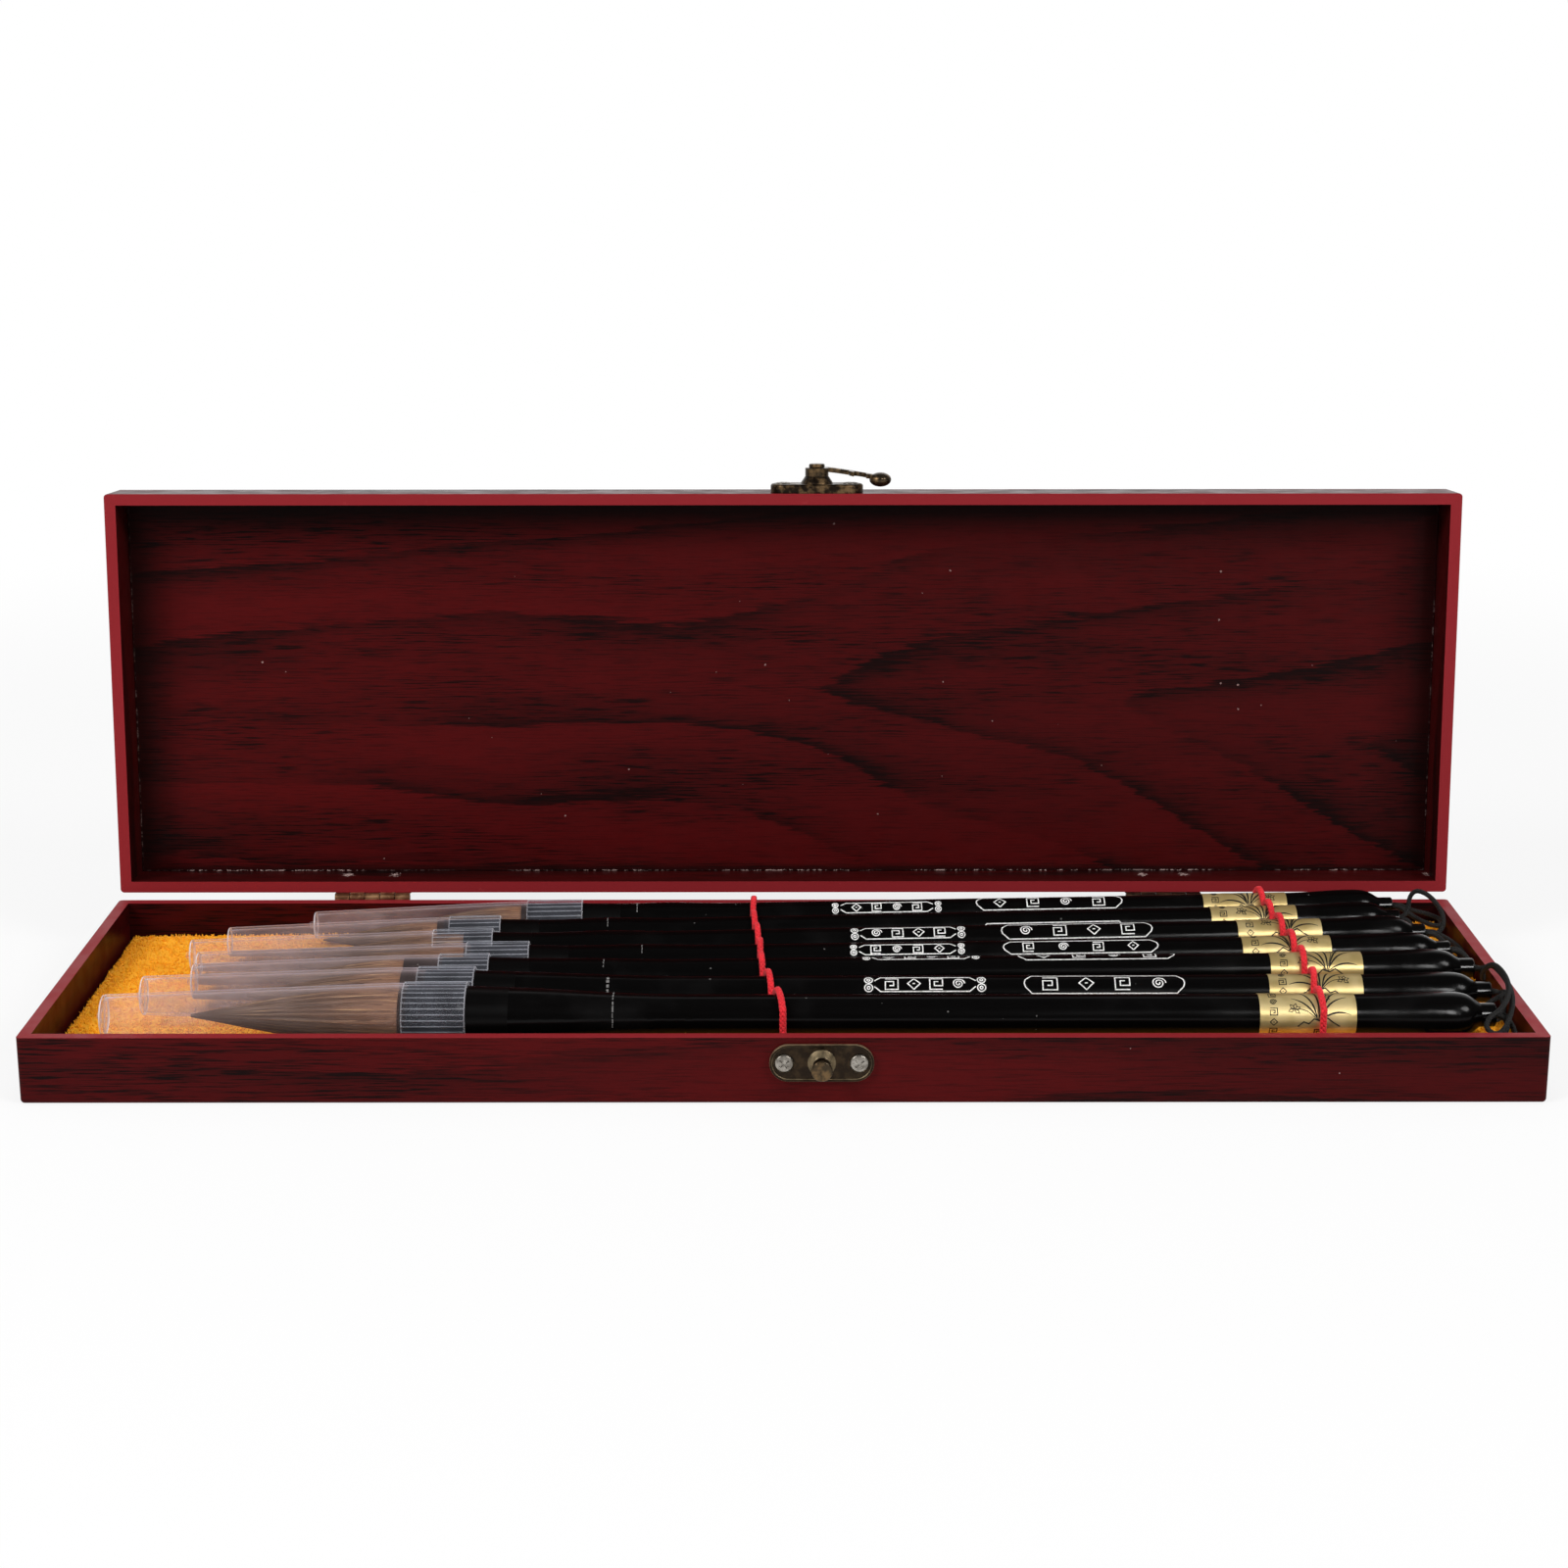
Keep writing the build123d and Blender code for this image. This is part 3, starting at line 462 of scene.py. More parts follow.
def panelShadeAndGlue(tree, onLid, place, vector, colour):
    # painted shade and broken glue along the sides of a panel's inner face
    x, y, z = place
    fromX = minus(tree, innerX * mm, absolute(tree, x))
    fromY = minus(tree, innerY * mm, absolute(tree, y))
    paintedShade = boardFade(tree, smaller(tree, fromX, fromY), "edgeShade")
    if onLid:  # the painted shade is darkest in the strip under the lid's front wall, and also falls beside its side walls and towards the right
        paintedShade = larger(tree, paintedShade, boardFade(tree, plus(tree, y, innerY * mm), "lipShade"))
        paintedShade = larger(tree, paintedShade, boardFade(tree, fromX, "sideShade"))
        paintedShade = larger(tree, paintedShade, boardFade(tree, x, "rightShade"))
        inside = below(tree, z, (panelInside + 1.0) * mm)
    else:
        inside = above(tree, z, (floorTop - 1.0) * mm)
    colour = mixColour(tree, times(tree, paintedShade, inside), colour, boardStyle["shadeColour"])
    glue = times(tree, glueMask(tree, x, y, vector), inside)
    return mixColour(tree, glue, colour, boardStyle["glue"])


def wallShadeAndGlue(tree, onLid, face, place, vector, colour):
    # painted shade darkens the walls' inner faces; blobs of glue sit on the lid's back wall
    reach, limit = {"long": (place[1], innerY), "side": (place[0], innerX)}[face]
    inside = below(tree, absolute(tree, reach), (limit + 0.05) * mm)
    colour = mixColour(tree, times(tree, inside, boardStyle["shadedWall"]), colour, boardStyle["shadeColour"])
    if onLid and face == "long":
        colour = mixColour(tree, blobMask(tree, place, vector), colour, boardStyle["glue"])
    return colour


def paintedRim(tree, onLid, z, vector, colour, roughness):
    depth = boardStyle["rimDepth"]
    if onLid:
        rim = below(tree, z, (lidRim + depth) * mm)
    else:
        rim = above(tree, z, (baseHeight - depth) * mm)
    mottle = stepOf(tree, noiseOf(tree, vector, *boardStyle["mottle"]), 0.62, 0.82)
    paint = mixColour(tree, times(tree, mottle, 0.6), boardStyle["rim"], boardStyle["rimWear"])
    return mixColour(tree, rim, colour, paint), plus(tree, roughness, times(tree, rim, 0.08))


def boardMaterial(name, onLid, face, seed):
    # face is panel, long or side; the lid's finish is laid out as if the lid were shut
    material, tree, shader = newMaterial(name, Specular_IOR_Level=grainStyle["specular"])
    vector = objectVector(tree)
    if onLid:
        inputs = {"Vector": vector, "Center": Vector(hingeLine) * mm, "Angle": lidAngle}
        vector = addNode(tree, "ShaderNodeVectorRotate", inputs, rotation_type="X_AXIS").outputs[0]
    place = splitVector(tree, vector)
    grain = boardGrain(tree, onLid, face, seed, place)
    dust = useGroup(tree, dustSpecks, {"Vector": vector, **boardStyle["dustSpecks"]})[0]
    colour = mixColour(tree, dust, grain["Color"], boardStyle["dust"])
    roughness = stepOf(tree, noiseOf(tree, vector, *boardStyle["sheen"]), 0.3, 0.7, 0.30, 0.42)
    if face == "panel":
        colour = panelShadeAndGlue(tree, onLid, place, vector, colour)
    else:
        colour = wallShadeAndGlue(tree, onLid, face, place, vector, colour)
        colour, roughness = paintedRim(tree, onLid, place[2], vector, colour, roughness)
    feed(tree, shader, Base_Color=colour, Roughness=roughness,
         Normal=bumpOf(tree, grain["Height"], 0.15, 0.00005))
    return material


def glueMask(tree, x, y, vector):
    # a broken pale line of glue where the panel meets its walls, weaker at the side walls
    width = boardStyle["glueWidth"]
    fromX = minus(tree, absolute(tree, x), (innerX - width) * mm)
    fromY = minus(tree, absolute(tree, y), (innerY - width) * mm)
    atEdge = times(tree, above(tree, fromX, 0.0), boardStyle["glueAtSides"])
    atEdge = larger(tree, atEdge, above(tree, fromY, 0.0))
    broken = stepOf(tree, noiseOf(tree, vector, *boardStyle["crumbs"]), 0.50, 0.60)
    patches = stepOf(tree, noiseOf(tree, vector, *boardStyle["patches"]), 0.34, 0.62)
    return times(tree, times(tree, atEdge, broken), patches)


def blobMask(tree, place, vector):
    # ragged blobs of glue on the inner face of the back wall
    x, y, z = place
    away = None
    for blob in boardStyle["blobs"]:
        gap = absolute(tree, minus(tree, x, blob * mm))
        away = gap if away is None else smaller(tree, away, gap)
    height = minus(tree, z, (panelInside - boardStyle["blobHeight"]) * mm)
    flat = times(tree, times(tree, height, height), 0.35)
    reach = rootOf(tree, plus(tree, times(tree, away, away), flat))
    ragged = noiseOf(tree, vector, *boardStyle["blobEdge"])
    fade = over(tree, reach, boardStyle["blobSize"] * mm)
    near = stepOf(tree, minus(tree, ragged, times(tree, fade, 0.32)), 0.30, 0.42)
    return times(tree, near, above(tree, y, (innerY - 0.2) * mm))


def softenEdges(node, width):
    # joins the loose corners of an imported node, rounds its edges and shades its flats flat
    weld = node.modifiers.new("weld", "WELD")
    weld.merge_threshold = 1e-6
    clean = node.modifiers.new("clean", "DECIMATE")
    clean.decimate_type = "DISSOLVE"
    clean.angle_limit = math.radians(0.5)
    bevel = node.modifiers.new("bevel", "BEVEL")
    bevel.width = width * mm
    bevel.segments = 2
    bevel.limit_method = "ANGLE"
    bevel.angle_limit = math.radians(35)
    node.modifiers.new("weights", "WEIGHTED_NORMAL")


def dress(name, material):
    node = cadNodes[name]
    node.data.materials.clear()
    node.data.materials.append(material)
    return node


boardFaces = {"front_wall": "long", "back_wall": "long", "left_wall": "side", "right_wall": "side",
              "panel": "panel"}
for part, onLid, seed in (("base", False, 2.0), ("lid", True, 31.0)):
    looks = {face: boardMaterial(f"{part}{face.capitalize()}Foil", onLid, face, seed + shift)
             for face, shift in (("panel", 0.0), ("long", 5.3), ("side", 9.1))}
    for board, face in boardFaces.items():
        softenEdges(dress(f"{part}_{board}", looks[face]), boardStyle["edge"])
print("boards dressed")

# Meshes


def newPiece(name, points, faces, body, smooth=True):
    # points are millimetres; the piece rides on a body
    mesh = bpy.data.meshes.new(name)
    mesh.from_pydata((np.asarray(points) * mm).tolist(), [], faces)
    mesh.polygons.foreach_set("use_smooth", [smooth] * len(mesh.polygons))
    mesh.update()
    piece = bpy.data.objects.new(name, mesh)
    scene.collection.objects.link(piece)
    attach(piece, body)
    return piece


def gridFaces(rows, columns, start=0):
    # quads of a grid whose columns close on themselves
    faces = []
    for row in range(rows - 1):
        for column in range(columns):
            beside = (column + 1) % columns
            low, high = start + row * columns, start + (row + 1) * columns
            faces.append((low + column, low + beside, high + beside, high + column))
    return faces


def lathe(name, brush, profile, body, segments, ripple):
    # turns (station, radius) points round a brush's axis; ripple adds to the radius at each angle
    angles = np.arange(segments) * 2 * math.pi / segments
    ring = np.outer(np.cos(angles), brush["front"]) + np.outer(np.sin(angles), brush["up"])
    thinnest = 0.02
    points = []
    for station, radius in profile:
        radii = np.full(segments, max(radius, thinnest)) + ripple(station, radius, angles)
        points.append(brush["origin"] + brush["along"] * station + ring * radii[:, None])
    piece = newPiece(name, np.concatenate(points), gridFaces(len(profile), segments), body)
    layer = piece.data.uv_layers.new(name="turned")
    corners = np.empty(len(piece.data.loops), np.int64)
    piece.data.loops.foreach_get("vertex_index", corners)
    across = (corners % segments) / segments
    face = np.repeat(np.arange(len(corners) // 4), 4)
    lastColumn = (face % segments) == segments - 1
    across[lastColumn & (across < 0.5)] += 1.0
    stations = np.array([station for station, _ in profile])[corners // segments]
    layer.data.foreach_set("uv", np.column_stack((stations * mm, across)).ravel())
    return piece


def spaced(start, end, step):
    return np.linspace(start, end, max(2, int(math.ceil(abs(end - start) / step)) + 1))


def markFromTip(piece, values):
    attribute = piece.data.attributes.new("fromTip", "FLOAT", "POINT")
    attribute.data.foreach_set("value", np.asarray(values, np.float32))


# Caps: thin clear shells with a ribbed collar

capStyle = {
    "wall": 0.6, "collarWall": 0.8, "fit": 0.1, "ribPitch": 1.42, "ribHeight": 0.26, "ribSteps": 8,
    "nibRadius": 0.9, "nibLength": 1.2, "endThickness": 0.8, "shoulderRoom": 2.0, "rim": 0.3,
    "collars": (15.2, 14.0, 12.6, 16.0, 15.5, 13.5, 14.8),
    # each finish: its colour face on and edge on, where a paler edge-on colour is a painted sheen, and how
    # much it covers face on and edge on
    "finishes": {
        "clearShell": ((0.84, 0.62, 0.60, 1), (0.92, 0.84, 0.94, 1), 0.046, 0.88),
        "clearCollar": ((0.20, 0.21, 0.25, 1), (0.42, 0.44, 0.52, 1), 0.17, 0.52),
        "ribEdge": ((0.70, 0.72, 0.80, 1), (0.70, 0.72, 0.80, 1), 0.38, 0.75),
        "rimEdge": ((0.86, 0.85, 0.92, 1), (0.86, 0.85, 0.92, 1), 0.40, 0.90),
    },
    "tipFog": 1.45, "collarFog": 0.60, "fogSpan": (0.22, 0.60), "streaks": (60.0, 900.0, 3.0),
    "cloud": (130.0, 2.0),
}


def capMaterial(name, colour, sheenColour, faceAlpha, edgeAlpha):
    material, tree, shader = newMaterial(name, Specular_IOR_Level=0.5)
    vector = objectVector(tree)
    facing = addNode(tree, "ShaderNodeLayerWeight", {"Blend": 0.5}).outputs["Facing"]
    cloud = stepOf(tree, noiseOf(tree, vector, *capStyle["cloud"]), 0.3, 0.7, 0.75, 1.25)
    streaky = streaksOf(tree, vector, *capStyle["streaks"])
    streaks = stepOf(tree, streaky, 0.56, 0.76, 0.0, 0.05)
    fromTip = addNode(tree, "ShaderNodeAttribute", attribute_name="fromTip").outputs["Fac"]
    fog = stepOf(tree, fromTip, *capStyle["fogSpan"], capStyle["tipFog"], capStyle["collarFog"])
    base = times(tree, plus(tree, times(tree, cloud, faceAlpha), streaks), fog)
    # the colour pales towards the silhouette as a painted sheen
    feed(tree, shader, Alpha=mixValue(tree, power(tree, facing, 4.5), base, edgeAlpha),
         Roughness=stepOf(tree, streaky, 0.3, 0.7, 0.10, 0.24),
         Base_Color=mixColour(tree, power(tree, facing, 2.0), colour, sheenColour),
         Normal=bumpOf(tree, streaky, 0.12, 0.0001))
    return material


capFinishes = [capMaterial(name, *finish) for name, finish in capStyle["finishes"].items()]


def capProfile(brush, bore, collarStart):
    # the cap's outline from the nib's tip over the outside to the mouth, and back through the bore
    tip, mouth = brush["nibTip"], brush["mouth"]
    end = tip + capStyle["nibLength"]
    inEnd = end + capStyle["endThickness"]
    body, collar = bore + capStyle["wall"], bore + capStyle["collarWall"]
    shoulder = brush["ferruleFront"] - capStyle["shoulderRoom"]
    stations, radii = turnedPoints(f"brush_{brush['number']}_cap", brush)
    endRadius = radii[(stations > end + 0.4) & (stations < end + 1.0)].max()
    nib = capStyle["nibRadius"]
    profile = [(tip, 0.0), (tip, nib - 0.2), (tip + 0.2, nib), (end - 0.15, nib), (end, nib + 0.2),
               (end, endRadius - 0.75), (end + 0.06, endRadius - 0.38), (end + 0.22, endRadius - 0.12),
               (end + 0.5, endRadius)]
    for station in spaced(end + 0.5, min(shoulder, collarStart), 3.0)[1:]:
        share = (station - end - 0.5) / (shoulder - end - 0.5)
        profile.append((station, endRadius + (body - endRadius) * min(share, 1.0)))
    if shoulder < collarStart:
        profile += [(station, body) for station in spaced(shoulder, collarStart, 3.0)[1:]]
    profile += [(collarStart + 0.02, body + 0.05), (collarStart + 0.14, collar - 0.02)]
    profile += [(station, collar) for station in spaced(collarStart + 0.3, mouth - 0.5, 1.5)]
    profile += [(mouth - 0.28, collar), (mouth - 0.06, collar - 0.04), (mouth, collar - 0.12)]
    profile.append((mouth, bore + 0.06))
    outside = len(profile)
    profile += [(station, bore) for station in spaced(mouth - 0.05, shoulder, 4.0)]
    inner = endRadius - capStyle["wall"] - bore
    profile += [(station, bore + inner * (shoulder - station) / (shoulder - inEnd))
                for station in spaced(shoulder, inEnd, 5.0)[1:]]
    profile.append((inEnd, 0.0))
    return profile, outside


def finishCap(piece, profile, outside, segments, onWall, collarStart, tip, mouth):
    # the shell, the collar, the crests of its ribs, and the crisp rims of the collar and the cap's end
    shellFace, collarFace, crestFace, rimFace = range(4)
    for material in capFinishes:
        piece.data.materials.append(material)
    stationOf = np.array([station for station, _ in profile])
    radiusOf = np.array([radius for _, radius in profile])
    markFromTip(piece, np.repeat((stationOf - tip) / (mouth - tip), segments))
    kinds = np.full(len(piece.data.polygons), shellFace, np.int32)
    rows, columns = np.divmod(np.arange(len(kinds)), segments)
    middle = (stationOf[rows] + stationOf[rows + 1]) / 2
    rim, ribSteps = capStyle["rim"], capStyle["ribSteps"]
    onCollar = (middle > collarStart) & (rows < outside - 1)
    kinds[onCollar] = collarFace
    fromCrest = np.abs((columns + 0.5 + ribSteps / 2) % ribSteps - ribSteps / 2)
    kinds[onCollar & (fromCrest < 0.6) & (radiusOf[rows] > onWall)] = crestFace
    end = tip + capStyle["nibLength"]
    atRim = onCollar & ((middle > mouth - rim) | (middle < collarStart + rim))
    kinds[atRim | ((middle > end + 0.04) & (middle < end + 0.45) & (rows < outside))] = rimFace
    kinds[(middle > collarStart) & (rows >= outside - 1)] = collarFace
    piece.data.polygons.foreach_set("material_index", kinds)


def makeCap(brush):
    number, mouth, tip = brush["number"], brush["mouth"], brush["nibTip"]
    bore = brush["ferruleRadius"] + capStyle["fit"]
    onWall = bore + 0.45  # a radius that only the outside reaches
    collarStart = mouth - capStyle["collars"][number - 1]
    around = 2 * math.pi * (bore + capStyle["collarWall"])
    ribs = max(16, int(round(around / capStyle["ribPitch"])))
    segments = ribs * capStyle["ribSteps"]

    def ripple(station, radius, angles):
        # the collar's ridges, which fade out just before its two edges
        if radius < onWall or not collarStart + 0.1 < station < mouth - 0.1:
            return 0.0
        wave = np.maximum(np.cos(angles * ribs), 0.0) ** 1.5
        return (wave - 0.62) * capStyle["ribHeight"]

    profile, outside = capProfile(brush, bore, collarStart)
    piece = lathe(f"clearCap{number}", brush, profile, f"cap_{number}", segments, ripple)
    finishCap(piece, profile, outside, segments, onWall, collarStart, tip, mouth)
    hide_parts(f"brush_{number}_cap")


for brush in brushes:
    makeCap(brush)
print("caps turned")

# Hair: a streaked body of bristle with loose strands on it

hairStyle = {
    "root": (0.200, 0.084, 0.036, 1), "middle": (0.110, 0.056, 0.030, 1), "tip": (0.100, 0.056, 0.034, 1),
    "pale": (0.50, 0.30, 0.145, 1), "dark": (0.012, 0.007, 0.005, 1),
    # each noise: its scales along the hair and round it, detail and roughness
    "lines": (42.0, 95.0, 4.0, 0.65), "coarse": (25.0, 20.0, 2.0, 0.5), "drift": 0.5,
    "waves": 7, "segments": 96, "strands": (330, 200, 150, 190, 150, 120, 110), "strandRadius": 0.055,
    "strandSteps": 9, "strandTaper": 0.75,
}


def hairMaterial():
    material, tree, shader = newMaterial("brushHair", Specular_IOR_Level=0.4)
    u, v, _ = splitVector(tree, addNode(tree, "ShaderNodeTexCoord").outputs["UV"])

    def turnedNoise(name):
        alongScale, roundScale, detail, roughness = hairStyle[name]
        place = joinVector(tree, times(tree, u, alongScale), times(tree, v, roundScale))
        return noiseOf(tree, place, 1.0, detail, roughness)

    lines, coarse = turnedNoise("lines"), turnedNoise("coarse")
    fromTip = addNode(tree, "ShaderNodeAttribute", attribute_name="fromTip").outputs["Fac"]
    drift = plus(tree, fromTip, times(tree, minus(tree, coarse, 0.5), hairStyle["drift"]))
    tinted = mixColour(tree, stepOf(tree, drift, 0.0, 0.45), hairStyle["tip"], hairStyle["middle"])
    tinted = mixColour(tree, stepOf(tree, drift, 0.45, 1.0), tinted, hairStyle["root"])
    streaked = mixColour(tree, stepOf(tree, lines, 0.53, 0.70, 0.0, 0.80), tinted, hairStyle["pale"])
    streaked = mixColour(tree, stepOf(tree, lines, 0.50, 0.30, 0.0, 0.85), streaked, hairStyle["dark"])
    feed(tree, shader, Base_Color=streaked, Roughness=stepOf(tree, lines, 0.3, 0.7, 0.62, 0.38),
         Normal=bumpOf(tree, lines, 0.6, 0.0002))
    return material


brushHair = hairMaterial()


def layStrands(brush, chance, stations, radii):
    # thin loose hairs on the body, each bent a little its own way
    tip, root = stations.min(), stations.max()
    steps = hairStyle["strandSteps"]
    points, faces, shares = [], [], []
    for _ in range(hairStyle["strands"][brush["number"] - 1]):
        angle = chance.uniform(0, 2 * math.pi)
        start = chance.uniform(0.0, 0.35)
        end = chance.choice((1.0, chance.uniform(0.55, 1.0)))
        bend, lift = chance.uniform(-0.10, 0.10), chance.uniform(0.0, 0.07)
        for share in np.linspace(0, 1, steps):
            along = start + (end - start) * share
            station = root - along * (root - tip)
            radius = np.interp(station, stations, radii) + lift + 0.02
            turn = angle + bend * math.sin(along * 3.0) + 0.04 * math.sin(along * 11 + angle * 7)
            thick = hairStyle["strandRadius"] * (1.0 - hairStyle["strandTaper"] * share)
            middle, out = onBrush(brush, station, radius, turn), outward(brush, turn)
            aside = np.cross(brush["along"], out)
            points += [middle + out * thick, middle - out * thick * 0.5 + aside * thick,
                       middle - out * thick * 0.5 - aside * thick]
            shares += [1 - along] * 3
        first, last = len(points) - 3 * steps, len(points) - 3
        faces += gridFaces(steps, 3, first)
        faces += [(first + 2, first + 1, first), (last, last + 1, last + 2)]
    strands = newPiece(f"looseStrands{brush['number']}", points, faces, "base")
    markFromTip(strands, shares)
    strands.data.materials.append(brushHair)


def makeHair(brush):
    number = brush["number"]
    stations, radii = brush["hairLine"]
    seen = stations < brush["ferruleFront"] + 0.4
    stations, radii = stations[seen], radii[seen]
    tip, root = stations.min(), stations.max()
    chance = random.Random(50 + number)
    waves = [(chance.randint(7, 40), chance.uniform(0, 6.3), chance.uniform(0.01, 0.03))
             for _ in range(hairStyle["waves"])]

    def ripple(station, radius, angles):
        bumps = sum(size * np.sin(angles * turns + start + station * 0.05) for turns, start, size in waves)
        return radius * bumps * min(1.0, (root - station) / 4.0)

    line = [(tip, 0.0)]
    line += [(station, np.interp(station, stations, radii)) for station in spaced(tip, root, 1.2)]
    segments = hairStyle["segments"]
    body = lathe(f"hairBody{number}", brush, line, "base", segments, ripple)
    markFromTip(body, np.repeat([(station - tip) / (root - tip) for station, _ in line], segments))
    body.data.materials.append(brushHair)
    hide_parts(f"brush_{number}_hair")
    layStrands(brush, chance, stations, radii)


for brush in brushes:
    makeHair(brush)
print("hair laid")

# The padded insert: a fleece skin with a short nap

padStyle = {
    "rounding": 1.8, "lump": 0.18, "cell": 1.25, "fill": 0.75,
    "tuftLength": 0.75, "tuftRadius": 0.20, "tuftsPerSquare": 1.6, "shortestTuft": 0.35, "tuftInset": 0.3,
    # heights up a tuft and how thick it is at each
    "tuftRings": ((0.0, 1.0), (0.5, 0.85), (0.85, 0.55)),
    # the stretch along the box that the brushes cover, and the share of tufts it keeps
    "covered": (-90, 150), "coveredShare": 0.25,
    # scale per metre, detail and roughness of the grains, clumps and broad patches
    "noises": ((1500.0, 2.0, 0.6), (420.0, 3.0, 0.6), (40.0, 2.0, 0.5)),
    "orange": (1.0, 0.460, 0.020, 1), "pale": (1.0, 0.62, 0.085, 1), "deep": (1.0, 0.350, 0.008, 1),
}
padLow, padHigh = nodeBox("liner_fleece")
padPoints = nodePoints("liner_fleece")
padTops = [padPoints[abs(padPoints[:, 0] - x) < 3.0][:, 2].max() for x in (padLow[0] + 4, padHigh[0] - 4)]


def padTop(x):
    share = (x - padLow[0] - 4) / (padHigh[0] - padLow[0] - 8)
    return padTops[0] + (padTops[1] - padTops[0]) * share


def fleeceMaterial():
    material, tree, shader = newMaterial("orangeFleece", Sheen_Weight=0.06, Specular_IOR_Level=0.04)
    vector = objectVector(tree)
    grains, clumps, broad = (noiseOf(tree, vector, *noise) for noise in padStyle["noises"])
    # painted shade and highlight: the deep colour darkens the low places of the nap's bump and the pale one
    # lightens its high places; broad patches of the deep colour only vary the tone
    depth = stepOf(tree, grains, 0.30, 0.54, 0.0, 0.6)
    depth = plus(tree, depth, stepOf(tree, clumps, 0.26, 0.56, 0.0, 0.4))
    colour = mixColour(tree, depth, padStyle["deep"], padStyle["orange"])
    colour = mixColour(tree, stepOf(tree, grains, 0.60, 0.75, 0.0, 0.6), colour, padStyle["pale"])
    colour = mixColour(tree, stepOf(tree, broad, 0.35, 0.7, 0.0, 0.18), colour, padStyle["deep"])
    height = plus(tree, grains, times(tree, clumps, 0.8))
    feed(tree, shader, Base_Color=colour, Roughness=stepOf(tree, grains, 0.3, 0.7, 0.8, 0.98),
         Normal=bumpOf(tree, height, 0.65, 0.0005))
    return material


orangeFleece = fleeceMaterial()


def lumps(x, y):
    # gentle unevenness, only ever downwards
    wave = math.sin(x * 0.31 + 1.3 * math.sin(y * 0.23)) * math.sin(y * 0.37 + 1.1 * math.sin(x * 0.17))
    small = math.sin(x * 1.7 + y * 0.9) * math.sin(y * 1.9 - x * 0.6)
    return (wave + 0.5 * small - 1.5) * padStyle["lump"] * 0.5


def padEdge(x, y):
    # how far a place is from the pad's nearest side, and how far the rounded edge drops there
    rounding = padStyle["rounding"]
    edge = min(x - padLow[0], padHigh[0] - x, y - padLow[1], padHigh[1] - y)
    if edge >= rounding:
        return edge, 0.0
    return edge, rounding - math.sqrt(max(rounding**2 - (rounding - edge) ** 2, 0))


def underBrushes(x, y):
    # the height of the lowest brush surface over a place on the pad, wherever its cap is
    lowest = 99.0
    for brush in brushes:
        station, axisY, axisZ = axisAt(brush, x)
        aside = abs(y - axisY)
        if station < brush["nibTip"] - brush["travel"] - 0.5 or aside > 9:
            continue
        if station < brush["mouth"]:
            share = (station + brush["travel"] - brush["nibTip"]) / (brush["ferruleFront"] - brush["nibTip"])
            radius = brush["capEnd"] + (brush["collarRadius"] - brush["capEnd"]) * min(max(share, 0), 1)
        else:
            radius = float(np.interp(station, *brush["handleLine"])) + 0.2
            radius = max(radius, brush["ferruleRadius"]) if station < brush["ferruleBack"] else radius
        if station < brush["plugEnd"] and aside < radius:
            lowest = min(lowest, axisZ - math.sqrt(radius**2 - aside**2))
    return lowest


def makePad():
    rounding = padStyle["rounding"]

    def eased(axis):
        # even steps, with extra ones in the rounded edges
        low, high = padLow[axis], padHigh[axis]
        inner = np.linspace(low + rounding, high - rounding, int((high - low) / padStyle["cell"]))
        curve = rounding * (1 - np.cos(np.linspace(0, math.pi / 2, 5)))[:-1]
        return np.concatenate((low + curve, inner, (high - curve)[::-1]))

    xs, ys = eased(0), eased(1)
    points = []
    for y in ys:
        for x in xs:
            edge, drop = padEdge(x, y)
            points.append((x, y, padTop(x) - drop + lumps(x, y) * min(1.0, edge / rounding)))
    corners = np.arange(len(points)).reshape(len(ys), len(xs))
    quads = (corners[:-1, :-1], corners[:-1, 1:], corners[1:, 1:], corners[1:, :-1])
    faces = np.stack(quads, axis=-1).reshape(-1, 4).tolist()
    sides = (corners[0], corners[1:, -1], corners[-1, -2::-1], corners[-2:0:-1, 0])
    border = np.concatenate(sides).tolist()
    start, count = len(points), len(border)
    points += [(points[index][0], points[index][1], padLow[2]) for index in border]
    faces += [(border[i], start + i, start + (i + 1) % count, border[(i + 1) % count]) for i in range(count)]
    faces.append(tuple(start + i for i in reversed(range(count))))
    pad = newPiece("fleecePad", points, faces, "base")
    pad.data.materials.append(orangeFleece)
    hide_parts("liner_fleece")


def onTuft(foot, length, lean, way, curl, rise):
    # a place on a tuft's bent line; rise is a share of its height
    heading, out = way + curl * rise, lean * length * rise**1.3
    return foot + np.array((math.cos(heading) * out, math.sin(heading) * out, length * rise))


